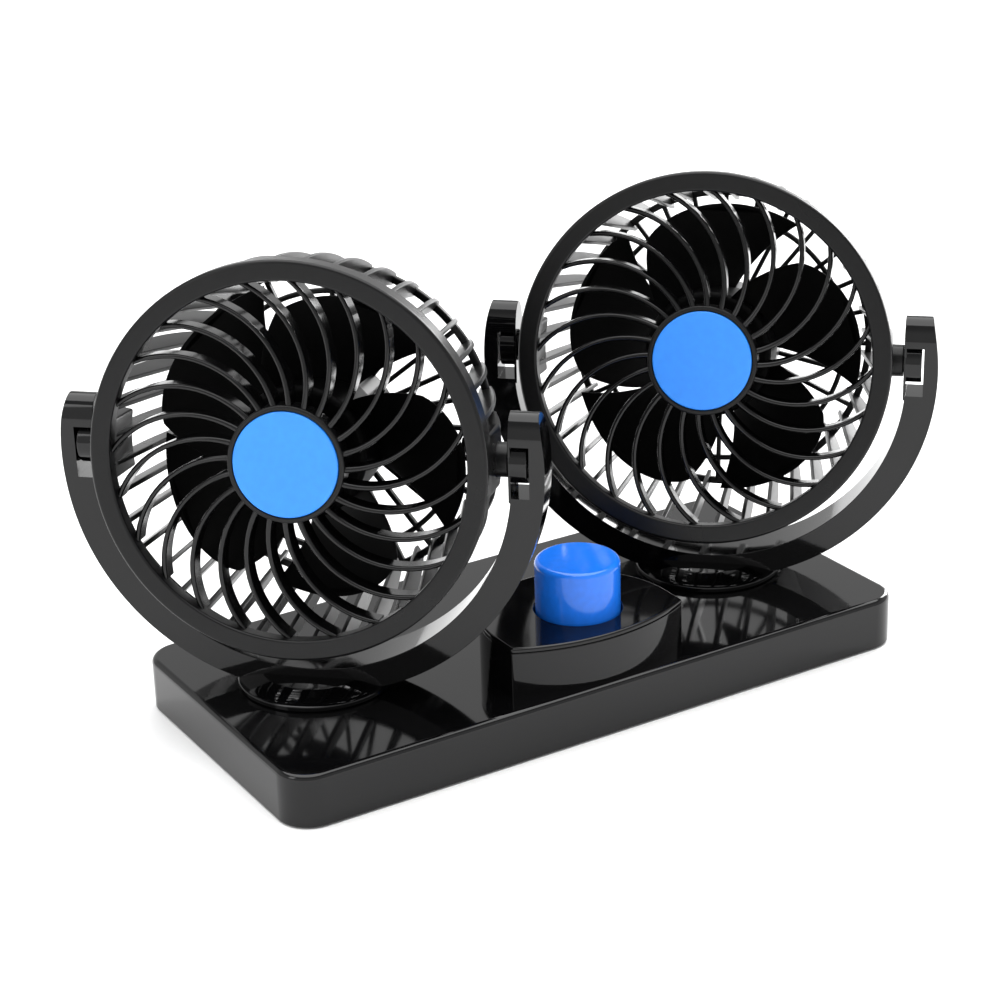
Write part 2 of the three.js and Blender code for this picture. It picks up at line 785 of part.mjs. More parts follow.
// One vane: a flat-sided blade along a circular arc that swings from the hub out to the ring
function swirlVane() {
  const sweep = radians(vaneSweepDegrees);
  const start = new THREE.Vector2(hubRadius, 0);
  const end = new THREE.Vector2(Math.cos(sweep), Math.sin(sweep)).multiplyScalar(ringInnerRadius);
  const along = end.clone().sub(start);
  const chord = along.length();
  const radius = (chord * chord) / (8 * vaneBow) + vaneBow / 2;
  const aside = new THREE.Vector2(-along.y, along.x).normalize();
  const centre = start.clone().add(end).divideScalar(2).addScaledVector(aside, radius - vaneBow);
  const from = Math.atan2(start.y - centre.y, start.x - centre.x) - joinDepth / radius;
  const to = Math.atan2(end.y - centre.y, end.x - centre.x) + joinDepth / radius;
  const half = vaneThickness / 2;
  const outline = [
    ...arc(centre.x, centre.y, radius + half, from, to, vaneSteps),
    ...arc(centre.x, centre.y, radius - half, to, from, vaneSteps),
  ];
  const geometry = alongZ(polygon(outline), vaneDepth);
  const place = geometry.attributes.position;
  for (let i = 0; i < place.count; i++) {
    const reach = Math.hypot(place.getX(i), place.getY(i));
    const share = (reach - hubRadius) / (ringInnerRadius - hubRadius);
    const sink = vaneRootSink + share * (vaneTipSink - vaneRootSink);
    place.setZ(i, place.getZ(i) + faceReach - vaneDepth / 2 - sink);
  }
  return solidOf(geometry);
}

function hubDisc() {
  const stemEnd = discRear - discStemLength;
  const round = discStandsProud / 2;
  return turned([
    [0, stemEnd],
    [discStemRadius, stemEnd],
    [discStemRadius, discRear],
    [discRadius, discRear],
    [discRadius, discFront - round],
    [discRadius - round, discFront],
    [0, discFront],
  ]);
}

// A radial plate of the cage from its outline in radius and reach
function radialPlate(corners, thickness, degrees) {
  return alongY(polygon(corners), thickness).rotate([0, 0, degrees]);
}

// A side fin's outline in radius and reach: its crest bows inward from the front hoop to the rear
function finOutline() {
  const front = hoopRear + joinDepth;
  const crest = [];
  for (let i = 0; i <= finSteps; i++) {
    const share = i / finSteps;
    const reach = THREE.MathUtils.lerp(front, cageRear + finTipRound, share);
    crest.push([finCrestRadius - finDraw * share * share, reach]);
  }
  const tip = finCrestRadius - finDraw - finTipRound;
  return [
    [hoopInnerRadius, front],
    ...crest,
    [tip, cageRear],
    [tip - finRearWidth, cageRear],
  ];
}

// A rib of the flat guard behind the rotor, from the band inward to the motor tube
function ribOutline() {
  const outer = (bandInnerRadius + bandOuterRadius) / 2;
  const inner = tubeOuterRadius - joinDepth;
  const [low, high] = [guardRear + ribInlay, guardRear + ribDepth - ribInlay];
  return [[outer, low], [inner, low], [inner, high], [outer, high]];
}

function rearCage() {
  const ringRear = hoopRear;
  const spigotFront = faceReach - ringFaceThickness - fitGap;
  const spigotOuter = ringOuterRadius - ringOuterWall - fitGap;
  const hoop = turned([
    [hoopInnerRadius, ringRear],
    [hoopOuterRadius, ringRear],
    [hoopOuterRadius, hoopFront],
    [spigotOuter, hoopFront],
    [spigotOuter, spigotFront],
    [hoopInnerRadius, spigotFront],
  ], finCount).rotate([0, 0, finStartDegrees]);
  const guardFront = guardRear + ribDepth;
  const band = tube(bandInnerRadius, bandOuterRadius, guardRear, guardFront, finCount);
  const innerHoop = tube(innerHoopOuterRadius - innerHoopWidth, innerHoopOuterRadius, guardRear,
    guardFront, ribCount);
  const spigotInner = motorRadius + fitGap;
  const mount = turned([
    [motorBossRadius + fitGap, mountReach],
    [spigotInner, mountReach],
    [spigotInner, mountReach - coverSpigotDepth],
    [spigotInner + coverSpigotWall, mountReach - coverSpigotDepth],
    [spigotInner + coverSpigotWall, mountReach],
    [tubeInnerRadius, mountReach],
    [tubeInnerRadius, guardRear],
    [tubeOuterRadius, guardRear],
    [tubeOuterRadius, mountReach + ribDepth],
    [motorBossRadius + fitGap, mountReach + ribDepth],
  ], ribCount);
  const plates = [];
  for (let i = 0; i < finCount; i++) {
    const degrees = finStartDegrees + (360 * i) / finCount;
    plates.push(radialPlate(finOutline(), finThickness, degrees));
  }
  for (let i = 0; i < ribCount; i++) {
    plates.push(radialPlate(ribOutline(), finThickness, (360 * i) / ribCount));
  }
  const pads = [-1, 1].map((side) => pivotPad(side));
  const holes = [
    ...[-1, 1].map((side) => pinHole(side)),
    ...[-1, 1].map((side) => motorScrewHole(side)),
  ];
  const hoops = [hoop, band.rotate([0, 0, finStartDegrees]), innerHoop];
  return cutBy(joined([...hoops, mount, ...plates, ...pads]), holes);
}

// The thickened wall that holds a tilt pin: a slice of a drum between two radii
function pivotPad(side) {
  const outer = hoopOuterRadius - fitGap;
  const drum = tube(outer - padDepth, outer, padRearReach, hoopRear + joinDepth, finCount);
  const [near, far] = [0, side * (outer + cutOverrun)].sort((a, b) => a - b);
  return drum.intersect(box(near, far, -padHalfHeight, padHalfHeight, padRearReach, hoopFront));
}

function pinHole(side) {
  const outer = hoopOuterRadius - fitGap;
  const collarFloor = outer - pinCollarSeat;
  const seat = cylinder(pinCollarRadius + fitGap, collarFloor, outer + cutOverrun, pinSides);
  const bore = cylinder(pinShankRadius + fitGap, outer - padDepth - cutOverrun, outer, pinSides);
  return joined([seat, bore]).rotate([0, side * 90, 0]);
}

function tiltPin(side) {
  const outer = hoopOuterRadius - fitGap;
  const shankEnd = outer - padDepth + fitGap;
  const collarStart = outer - pinCollarSeat + fitGap;
  const collarEnd = armInnerFace - fitGap;
  return turned([
    [0, shankEnd],
    [pinShankRadius, shankEnd],
    [pinShankRadius, collarStart],
    [pinCollarRadius, collarStart],
    [pinCollarRadius, collarEnd],
    [pinJournalRadius, collarEnd],
    [pinJournalRadius, journalEnd],
    [0, journalEnd],
  ], pinSides).rotate([0, side * 90, 0]);
}

function motor() {
  const shaftHole = motorShaftRadius + fitGap;
  const bossFront = motorFront + motorBossLength;
  const shaftFloor = motorFront - motorShaftSeat - fitGap;
  const body = turned([
    [0, motorRear],
    [motorRadius, motorRear],
    [motorRadius, motorFront],
    [motorBossRadius, motorFront],
    [motorBossRadius, bossFront],
    [shaftHole, bossFront],
    [shaftHole, shaftFloor],
    [0, shaftFloor],
  ]);
  const screwHoles = [-1, 1].map((side) => {
    const floor = motorFront - motorScrewBite - fitGap;
    const hole = cylinder(motorScrewRadius + fitGap, floor, motorFront + fitGap, smallSides);
    return hole.translate([0, (side * motorScrewSpacing) / 2, 0]);
  });
  return cutBy(body, screwHoles);
}

function motorScrewHole(side) {
  const [low, high] = [mountReach - cutOverrun, mountReach + ribDepth + cutOverrun];
  const hole = cylinder(motorScrewRadius + fitGap, low, high, smallSides);
  return hole.translate([0, (side * motorScrewSpacing) / 2, 0]);
}

function motorScrew(side) {
  const headRear = mountReach + ribDepth + fitGap;
  const tip = motorFront - motorScrewBite;
  return turned([
    [0, tip],
    [motorScrewRadius, tip],
    [motorScrewRadius, headRear],
    [motorScrewHeadRadius, headRear],
    [motorScrewHeadRadius, headRear + motorScrewHeadHeight],
    [0, headRear + motorScrewHeadHeight],
  ], smallSides).translate([0, (side * motorScrewSpacing) / 2, 0]);
}

function motorCover() {
  const inner = motorRear - coverEndGap;
  const end = inner - coverWall;
  const [edgeX, edgeZ] = [coverOuterRadius - coverEdgeRadius, end + coverEdgeRadius];
  const edge = arc(edgeX, edgeZ, coverEdgeRadius, -Math.PI / 2, 0, capEdgeSteps);
  const insideRound = coverEdgeRadius - coverWall;
  const cup = turned([
    [0, end],
    ...edge,
    [coverOuterRadius, mountReach - fitGap],
    [coverInnerRadius, mountReach - fitGap],
    ...arc(coverInnerRadius - insideRound, inner + insideRound, insideRound, 0, -Math.PI / 2, edgeSteps),
    [0, inner],
  ]);
  return cup.subtract(cylinder(wireHoleRadius, end - cutOverrun, inner + cutOverrun, smallSides));
}

function motorShaft() {
  const low = motorFront - motorShaftSeat;
  const high = rotorFrontReach - rotorCupWall - fitGap;
  return cylinder(motorShaftRadius, low, high, smallSides);
}

// Rotor: a cup with broad helical blades, turning about the head's z axis
function rotor() {
  const webRear = rotorFrontReach - rotorCupWall;
  const bore = motorShaftRadius + fitGap;
  const cup = turned([
    [0, webRear],
    [bore, webRear],
    [bore, rotorRearReach],
    [rotorBossRadius, rotorRearReach],
    [rotorBossRadius, webRear],
    [rotorCupRadius - rotorCupWall, webRear],
    [rotorCupRadius - rotorCupWall, rotorRearReach],
    [rotorCupRadius, rotorRearReach],
    [rotorCupRadius, rotorFrontReach],
    [0, rotorFrontReach],
  ]);
  const blade = rotorBlade();
  const blades = [];
  for (let i = 0; i < bladeCount; i++) {
    blades.push(blade.rotate([0, 0, (360 * i) / bladeCount]));
  }
  return joined([cup, ...blades]);
}

// A point of a blade's middle surface: across goes from its rear to its front edge, out from root to tip
function bladePoint(across, out) {
  const root = rotorCupRadius - joinDepth;
  const corner = bladeCornerShare * Math.pow(across, bladeCornerPower) * (bladeTipRadius - root);
  const radius = root + (bladeTipRadius - root - corner) * out;
  const rearDegrees = THREE.MathUtils.lerp(bladeRootRearDegrees, bladeTipRearDegrees, out);
  const frontDegrees = THREE.MathUtils.lerp(bladeRootFrontDegrees, bladeTipFrontDegrees, out);
  const angle = radians(THREE.MathUtils.lerp(rearDegrees, frontDegrees, across));
  const reach = THREE.MathUtils.lerp(bladeRearReach, bladeFrontReach, across);
  return new THREE.Vector3(radius * Math.cos(angle), radius * Math.sin(angle), reach);
}

function rotorBlade() {
  const rows = bladeStepsOut + 1;
  const places = [];
  for (const face of [1, -1]) {
    for (let i = 0; i <= bladeStepsAcross; i++) {
      for (let j = 0; j <= bladeStepsOut; j++) {
        const lift = (face * bladeThickness) / 2;
        const point = bladePoint(i / bladeStepsAcross, j / bladeStepsOut);
        places.push(point.x, point.y, point.z + lift);
      }
    }
  }
  const layer = rows * (bladeStepsAcross + 1);
  const index = [];
  for (let i = 0; i < bladeStepsAcross; i++) {
    for (let j = 0; j < bladeStepsOut; j++) {
      const a = i * rows + j;
      const b = a + rows;
      index.push(a, b, b + 1, a, b + 1, a + 1);
      index.push(a + layer, b + layer + 1, b + layer, a + layer, a + layer + 1, b + layer + 1);
    }
  }
  const rim = [];
  for (let j = 0; j < bladeStepsOut; j++) rim.push(j);
  for (let i = 0; i < bladeStepsAcross; i++) rim.push(i * rows + bladeStepsOut);
  for (let j = bladeStepsOut; j > 0; j--) rim.push(bladeStepsAcross * rows + j);
  for (let i = bladeStepsAcross; i > 0; i--) rim.push(i * rows);
  rim.forEach((here, k) => {
    const next = rim[(k + 1) % rim.length];
    index.push(here, next, next + layer, here, next + layer, here + layer);
  });
  const geometry = new THREE.BufferGeometry();
  geometry.setAttribute("position", new THREE.Float32BufferAttribute(places, 3));
  geometry.setIndex(index);
  return solidOf(geometry);
}

function addBase(model) {
  addPiece(model, "base_shell", baseShell(), materials.glossBlack);
  addPiece(model, "switch_panel", switchPanel(), materials.glossBlack);
  addPiece(model, "base_plate", basePlate(), materials.satinBlack);
  addPiece(model, "grip_pad", gripPad(), materials.rubber);
  screwPlaces().forEach((place, i) => {
    addPiece(model, `plate_screw_${i + 1}`, plateScrew(place), materials.steel);
  });
  addPiece(model, "cord_inlet", cordInlet(), materials.rubber);
  addPiece(model, "circuit_board", circuitBoard(), materials.board);
  addPiece(model, "speed_resistor", speedResistor(), materials.ceramic);
  addPiece(model, "switch_body", switchBody(), materials.satinBlack);
  addPiece(model, "switch_plunger", switchPlunger(), materials.satinBlack);
  addPiece(model, "push_button", pushButton(), materials.blueGloss);
}

function addFan(model, name, side, swivelDegrees, tiltDegrees, rotorDegrees) {
  const swivel = new THREE.Group();
  swivel.position.set(fanX(side), fanSetback, 0);
  swivel.rotation.z = radians(swivelDegrees);
  model.add(swivel);
  addPiece(swivel, `${name}_turntable`, turntable(), materials.glossBlack);
  addPiece(swivel, `${name}_yoke`, yoke(), materials.glossBlack);
  addPiece(swivel, `${name}_friction_washer`, frictionWasher(), materials.rubber);
  addPiece(swivel, `${name}_retaining_washer`, retainingWasher(), materials.steel);
  addPiece(swivel, `${name}_spindle_screw`, spindleScrew(), materials.steel);

  const head = new THREE.Group();
  head.position.z = tiltAxisHeight;
  head.rotation.x = radians(90 - tiltDegrees);
  swivel.add(head);
  addPiece(head, `${name}_front_grille`, frontGrille(), materials.satinBlack);
  addPiece(head, `${name}_hub_disc`, hubDisc(), materials.blueSatin);
  addPiece(head, `${name}_rear_cage`, rearCage(), materials.satinBlack);
  addPiece(head, `${name}_motor`, motor(), materials.steel);
  addPiece(head, `${name}_motor_cover`, motorCover(), materials.satinBlack);
  [-1, 1].forEach((end, i) => {
    addPiece(head, `${name}_tilt_pin_${i + 1}`, tiltPin(end), materials.satinBlack);
    addPiece(head, `${name}_motor_screw_${i + 1}`, motorScrew(end), materials.steel);
  });

  const spin = new THREE.Group();
  spin.rotation.z = radians(rotorDegrees);
  head.add(spin);
  addPiece(spin, `${name}_rotor`, rotor(), materials.satinBlack);
  addPiece(spin, `${name}_motor_shaft`, motorShaft(), materials.steel);
}

const fan = new THREE.Group();
addBase(fan);
addFan(fan, "left", -1, leftSwivelDegrees, leftTiltDegrees, leftRotorDegrees);
addFan(fan, "right", 1, rightSwivelDegrees, rightTiltDegrees, rightRotorDegrees);

export default fan;
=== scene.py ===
"""A dashboard fan with two heads, in black plastic with blue discs and a blue button, on a white floor."""

import json
import math

import bmesh
import bpy
from mathutils import Matrix, Vector


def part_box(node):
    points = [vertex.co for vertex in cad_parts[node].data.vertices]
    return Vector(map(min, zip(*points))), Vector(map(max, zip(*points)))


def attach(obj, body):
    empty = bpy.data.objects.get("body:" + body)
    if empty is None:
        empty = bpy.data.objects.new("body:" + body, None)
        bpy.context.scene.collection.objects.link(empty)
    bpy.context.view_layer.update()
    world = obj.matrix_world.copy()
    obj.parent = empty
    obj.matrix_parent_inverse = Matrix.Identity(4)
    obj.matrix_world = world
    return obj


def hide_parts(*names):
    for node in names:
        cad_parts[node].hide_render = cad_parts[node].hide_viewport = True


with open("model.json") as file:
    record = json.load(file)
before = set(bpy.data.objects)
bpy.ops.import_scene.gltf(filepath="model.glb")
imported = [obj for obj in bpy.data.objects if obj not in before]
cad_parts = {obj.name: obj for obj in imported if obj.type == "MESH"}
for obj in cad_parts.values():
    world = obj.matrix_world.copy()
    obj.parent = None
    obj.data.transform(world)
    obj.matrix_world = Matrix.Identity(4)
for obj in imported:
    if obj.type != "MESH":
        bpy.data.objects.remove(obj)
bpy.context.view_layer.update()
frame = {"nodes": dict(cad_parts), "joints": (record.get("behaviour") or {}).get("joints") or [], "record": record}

MM = 0.001
QUARTER = math.pi / 2
SHARP_ANGLE = math.radians(38)
MERGE_DISTANCE = 0.002
CUT_ROOM = 1.0

# Camera
CAMERA_TARGET = (-6.87, 4.13, 62.91)
CAMERA_DISTANCE = 807.94
CAMERA_AZIMUTH = -31.01
CAMERA_ELEVATION = 22.52
CAMERA_ROLL = -1.68
CAMERA_LENS = 87.86
SENSOR_WIDTH = 36.0
CAMERA_CLIP_START = 0.01

# Fits and the base slab
FIT = 0.3
BASE_LENGTH = 235.0
BASE_DEPTH = 110.0
BASE_HEIGHT = 18.2
BASE_CORNER = 11.0
BASE_EDGE = 2.0
BASE_FOOT_EDGE = 0.4
SHELL_WALL = 2.2
SHELL_TOP = 2.4
PAD_PROUD = 0.5
PAD_THICKNESS = 1.4
PAD_MARGIN_ENDS = 22.0
PAD_MARGIN_SIDES = 15.0
PAD_CORNER = 6.0
PAD_EDGE = 0.4
OUTLINE_STEPS = 14
CORNER_STEPS = 5
EDGE_STEPS = 6

# Console, panel and button
CONSOLE_HALF_WIDTH = 33.0
CONSOLE_DEPTH = 52.0
CONSOLE_FRONT_MARGIN = 3.0
CONSOLE_FRONT_RADIUS = 69.0
CONSOLE_FRONT_CORNER = 1.2
CONSOLE_LEAST_CORNER = 0.05
CONSOLE_HEIGHT = 34.5
CONSOLE_EDGE = 0.35
PANEL_THICKNESS = 1.5
PANEL_EDGE = 0.9
PANEL_CUT_DEPTH = 6.0
PANEL_HOLE_EDGE = 0.4
BUTTON_RADIUS = 14.0
BUTTON_TOP = 52.0
BUTTON_SIDE_STEP = 1.5
BUTTON_SETBACK = 3.7
BUTTON_EDGE = 1.8
BUTTON_SKIRT = 4.0
BUTTON_HOLE_GAP = 0.4
BUTTON_STEPS = 8

# Cord inlet
INLET_RADIUS = 4.3
INLET_BORE = 2.0
INLET_FLANGE_RADIUS = 6.0
INLET_FLANGE_THICKNESS = 1.5
INLET_LIP = 1.2
INLET_EDGE = 0.4
INLET_SIDES = 64

# Turntable and yoke
TABLE_RADIUS = 25.5
TABLE_RIM = 1.5
TABLE_RISE = 2.4
TABLE_FLARE_RADIUS = 17.0
TABLE_FLARE_POWER = 0.6
TABLE_EDGE = 0.45
TABLE_STEPS = 12
YOKE_DEPTH = 12.4
YOKE_FOOT_DEPTH = 17.0
YOKE_OUTER_RADIUS = 77.6
YOKE_INNER_RADIUS = 67.0
YOKE_OUTER_DROP = 2.9
YOKE_INNER_DROP = 5.0
YOKE_SEAT = 20.5
ARM_RISE = 15.9
ARM_INNER_FACE = 66.15
ARM_BOSS_DROP = 12.0
YOKE_EDGE = 0.75
YOKE_STEPS = 110
ARM_CROWN_STEPS = 26
WINDOW_INNER = 66.95
WINDOW_OUTER = 72.75
WINDOW_TOP = 6.4
WINDOW_BOTTOM = 10.5
WINDOW_EDGE = 0.22
DRUM_RADIUS = 7.0
DRUM_END = 72.05
DRUM_EDGE = 0.45
DRUM_SIDES = 96

# Tilt pins
PIN_COLLAR_RADIUS = 5.45
PIN_JOURNAL_RADIUS = 4.0
PIN_SHANK_RADIUS = 3.0
PIN_JOURNAL_END = 70.85
PIN_EDGE = 0.35
PIN_COLLAR_SEAT = 1.0
PIN_SIDES = 64

# Front ring, grille and disc, measured forward from the tilt axis
FACE_REACH = 19.7
HOOP_REAR = 11.0
RING_OUTER = 62.85
RING_INNER = 56.4
RING_DEPTH = 5.4
RING_FACE_THICKNESS = 1.8
RING_OUTER_WALL = 1.85
RING_INNER_WALL = 1.6
RING_OUTER_EDGE = 1.1
RING_INNER_EDGE = 0.9
RING_SIDES = 192
RING_STEPS = 5
VANE_COUNT = 24
VANE_THICKNESS = 1.6
VANE_ROOT_GAIN = 0.35
VANE_ROOT_POWER = 6
VANE_REAR_SHARE = 0.8
VANE_END_OVERLAP = 0.8
VANE_DEPTH = 6.8
VANE_ROOT_SINK = 0.5
VANE_TIP_SINK = 2.7
VANE_SWEEP = 31.5
VANE_START = 12.0
VANE_BOW = 7.5
VANE_STEPS = 18
VANE_ROUND_STEPS = 8
HUB_RADIUS = 18.5
HUB_WALL = 1.5
HUB_DEPTH = 7.0
HUB_EDGE = 0.6
HUB_FLOOR = 2.0
DISC_RADIUS = 16.66
DISC_THICKNESS = 2.1
DISC_PROUD = 0.7
DISC_EDGE = 0.5

# Rear cage
HOOP_DEPTH = 3.0
HOOP_EDGE = 0.35
FIN_FRONT_SINK = 2.4
HOOP_INNER = 58.3
FIN_COUNT = 40
FIN_START = 5.0
FIN_THICKNESS = 1.6
FIN_EDGE = 0.4
FIN_CREST = 62.15
FIN_DRAW = 8.4
FIN_REAR_WIDTH = 2.8
FIN_TIP_ROUND = 2.0
FIN_STEPS = 14
FIN_TIP_STEPS = 4
CAGE_REAR = -41.5
GUARD_REAR = -39.5
BAND_OUTER = 53.05
BAND_INNER = 50.65
BAND_EDGE = 0.5
INNER_HOOP_OUTER = 44.35
INNER_HOOP_WIDTH = 1.8
RIB_COUNT = 28
RIB_DEPTH = 2.6
RIB_EDGE = 0.4
HOOP_ROUND = 0.7
HOOP_STEPS = 3
TUBE_OUTER = 21.0
TUBE_INNER = 18.25
TUBE_EDGE = 0.8
MOUNT_REACH = -22.0
PAD_HALF_HEIGHT = 10.0
PAD_REAR_REACH = -6.0
PAD_DEPTH = 4.4
PAD_BLOCK_EDGE = 0.9
PAD_STEPS = 12

# Motor cover
MOTOR_BOSS_HOLE = 5.3
COVER_RADIUS = 17.95
COVER_INNER_RADIUS = 16.25
COVER_REAR_REACH = -42.5
COVER_WALL = 1.7
COVER_EDGE = 4.0
COVER_RIM_EDGE = 0.5
COVER_STEPS = 8
COVER_WIRE_HOLE = 2.5

# Rotor
BLADE_COUNT = 5
BLADE_TIP = 50.8
BLADE_THICKNESS = 1.5
BLADE_EDGE_THICKNESS = 0.7
BLADE_SWELL_POWER = 0.35
BLADE_ROOT_SINK = 0.6
BLADE_BEVEL = 0.25
BLADE_FRONT = 4.4
BLADE_REAR = -18.0
BLADE_ROOT_REAR_DEGREES = 4.0
BLADE_TIP_REAR_DEGREES = -11.5
BLADE_ROOT_FRONT_DEGREES = 72.5
BLADE_TIP_FRONT_DEGREES = 50.0
BLADE_CORNER_SHARE = 0.22
BLADE_CORNER_POWER = 4
BLADE_STEPS_ACROSS = 26
BLADE_STEPS_OUT = 12
CUP_RADIUS = 21.5
CUP_WALL = 1.8
CUP_FRONT = 5.0
CUP_REAR = -18.8
CUP_EDGE = 2.0
CUP_INNER_EDGE = 0.8
CUP_RIM_EDGE = 0.3
CUP_STEPS = 6
ROTOR_ANGLES = {"left": -23.4, "right": -3.0}

# Texture of the finishes, in features per metre or as shares
CLOUD_SCALE = 45.0
CLOUD_DETAIL = 4.0
CLOUD_RANGE = (0.3, 0.7)
SPECKLE_SCALE = 420.0
SPECKLE_DETAIL = 3.0
SPECKLE_RANGE = (0.35, 0.65)
RELIEF_DETAIL = 2.0
LEAST_ROUGHNESS = 0.02

# Floor and light: places and sizes in metres, powers in watts
FLOOR_HALF_SIZE = 12.0
OVERHEAD_STRENGTH = 4.1
OVERHEAD_SPREAD_DEGREES = 75
OVERHEAD_TILT_DEGREES = (-8, 4)
TENT_LOW_TONE = (0.9, 0.9, 0.9, 1)
TENT_HIGH_TONE = (0.5, 0.5, 0.505, 1)
TENT_LOW_HEIGHT = 0.45
TENT_HIGH_HEIGHT = 0.7
BOX_TARGET = (0, 0, 0.08)
RIGHT_BOX_PLACE = (1.45, 0.62, 0.62)
RIGHT_BOX_SIZE = (0.5, 0.9)
RIGHT_BOX_POWER = 20
LEFT_BOX_PLACE = (-1.5, -0.2, 0.9)
LEFT_BOX_SIZE = (0.5, 0.8)
LEFT_BOX_POWER = 4


def material(name, colour, roughness, metallic=0.0, grain=0.0, grain_size=0.25, cloud=0.05,
             tint=0.12, specular=0.5):
    """A moulded or machined surface: fine grain in the relief, soft clouds in gloss, slight tone shifts."""
    made = bpy.data.materials.new(name)
    made.use_nodes = True
    nodes = made.node_tree.nodes
    links = made.node_tree.links
    shader = nodes["Principled BSDF"]
    shader.inputs["Metallic"].default_value = metallic
    shader.inputs["Specular IOR Level"].default_value = specular
    place = nodes.new("ShaderNodeTexCoord")
    clouds = nodes.new("ShaderNodeTexNoise")
    clouds.inputs["Scale"].default_value = CLOUD_SCALE
    clouds.inputs["Detail"].default_value = CLOUD_DETAIL
    links.new(place.outputs["Object"], clouds.inputs["Vector"])
    gloss = nodes.new("ShaderNodeMapRange")
    gloss.inputs["From Min"].default_value = CLOUD_RANGE[0]
    gloss.inputs["From Max"].default_value = CLOUD_RANGE[1]
    gloss.inputs["To Min"].default_value = max(roughness - cloud, LEAST_ROUGHNESS)
    gloss.inputs["To Max"].default_value = roughness + cloud
    links.new(clouds.outputs["Fac"], gloss.inputs["Value"])
    links.new(gloss.outputs["Result"], shader.inputs["Roughness"])
    speckle = nodes.new("ShaderNodeTexNoise")
    speckle.inputs["Scale"].default_value = SPECKLE_SCALE
    speckle.inputs["Detail"].default_value = SPECKLE_DETAIL
    links.new(place.outputs["Object"], speckle.inputs["Vector"])
    tone = nodes.new("ShaderNodeValToRGB")
    darker = [channel * (1 - tint) for channel in colour]
    lighter = [min(channel * (1 + tint), 1.0) for channel in colour]
    tone.color_ramp.elements[0].position = SPECKLE_RANGE[0]
    tone.color_ramp.elements[1].position = SPECKLE_RANGE[1]
    tone.color_ramp.elements[0].color = (*darker, 1)
    tone.color_ramp.elements[1].color = (*lighter, 1)
    links.new(speckle.outputs["Fac"], tone.inputs["Fac"])
    links.new(tone.outputs["Color"], shader.inputs["Base Color"])
    relief = nodes.new("ShaderNodeTexNoise")
    relief.inputs["Scale"].default_value = 1 / (grain_size * MM)
    relief.inputs["Detail"].default_value = RELIEF_DETAIL
    links.new(place.outputs["Object"], relief.inputs["Vector"])
    bump = nodes.new("ShaderNodeBump")
    bump.inputs["Strength"].default_value = 1.0
    bump.inputs["Distance"].default_value = grain * MM
    links.new(relief.outputs["Fac"], bump.inputs["Height"])
    links.new(bump.outputs["Normal"], shader.inputs["Normal"])
    return made


def make_materials():
    return {
        "gloss_black": material("gloss_black", (0.002, 0.002, 0.0022), 0.07, grain=0.0016, grain_size=3.0,
                                cloud=0.02, specular=0.36),
        "satin_black": material("satin_black", (0.003, 0.003, 0.0032), 0.3, grain=0.005, grain_size=0.35,
                                cloud=0.04, specular=0.25),
        "vane_black": material("vane_black", (0.0025, 0.0025, 0.0027), 0.15, grain=0.003, grain_size=0.5,
                               cloud=0.03, specular=0.32),
        # Painted shade: a darker, less shiny copy of the black plastic for the rotor, which sits in shade inside
        # the cage
        "painted_shade_black": material("painted_shade_black", (0.0015, 0.0015, 0.0016), 0.5, grain=0.004, grain_size=0.35,
                               cloud=0.04, specular=0.08),
        "blue_satin": material("blue_satin", (0.022, 0.25, 0.9), 0.38, grain=0.004, grain_size=0.35,
                               tint=0.04),
        "blue_gloss": material("blue_gloss", (0.012, 0.17, 0.8), 0.12, grain=0.002, grain_size=2.5,
                               tint=0.04, cloud=0.03),
        "black_rubber": material("black_rubber", (0.018, 0.018, 0.018), 0.8, grain=0.03, grain_size=0.4),
        "steel": material("steel", (0.62, 0.63, 0.65), 0.3, metallic=1.0, grain=0.003, grain_size=0.3),
        "motor_can": material("motor_can", (0.7, 0.7, 0.72), 0.38, metallic=1.0, grain=0.004,
                              grain_size=0.4),
        "board_green": material("board_green", (0.012, 0.11, 0.035), 0.45, grain=0.01, grain_size=0.8),
        "ceramic": material("ceramic", (0.72, 0.70, 0.64), 0.6, grain=0.02, grain_size=0.5),
    }


def arc(x, y, radius, start, end, steps):
    angles = [start + (end - start) * i / steps for i in range(steps + 1)]
    return [(x + radius * math.cos(a), y + radius * math.sin(a)) for a in angles]


def rounded(corners, steps=4):
    """A closed outline from (a, b, fillet) corners, each one rounded by its own fillet radius."""
    outline = []
    for i, (a, b, fillet) in enumerate(corners):
        here = Vector((a, b))
        if not fillet:
            outline.append((a, b))
            continue
        back = (Vector(corners[i - 1][:2]) - here).normalized()
        on = (Vector(corners[(i + 1) % len(corners)][:2]) - here).normalized()
        half = back.angle(on) / 2
        run = fillet / math.tan(half)
        centre = here + (back + on).normalized() * (fillet / math.sin(half))
        first = here + back * run - centre
        last = here + on * run - centre
        turn = first.angle_signed(last)
        for k in range(steps + 1):
            spoke = first.copy()
            spoke.rotate(Matrix.Rotation(-turn * k / steps, 2))
            outline.append(tuple(centre + spoke))
    return outline


def mesh_object(name, points, faces):
    """An object from points in millimetres, with doubled points merged and its faces turned outward."""
    mesh = bpy.data.meshes.new(name)
    mesh.from_pydata([tuple(value * MM for value in point) for point in points], [], faces)
    obj = bpy.data.objects.new(name, mesh)
    bpy.context.scene.collection.objects.link(obj)
    clean(obj)
    return obj


def clean(obj):
    work = bmesh.new()
    work.from_mesh(obj.data)
    bmesh.ops.remove_doubles(work, verts=work.verts, dist=MERGE_DISTANCE * MM)
    bmesh.ops.dissolve_degenerate(work, edges=work.edges, dist=MERGE_DISTANCE * MM)
    bmesh.ops.recalc_face_normals(work, faces=work.faces)
    work.to_mesh(obj.data)
    work.free()


def apply_modifiers(obj):
    graph = bpy.context.evaluated_depsgraph_get()
    baked = bpy.data.meshes.new_from_object(obj.evaluated_get(graph))
    obj.modifiers.clear()
    obj.data = baked


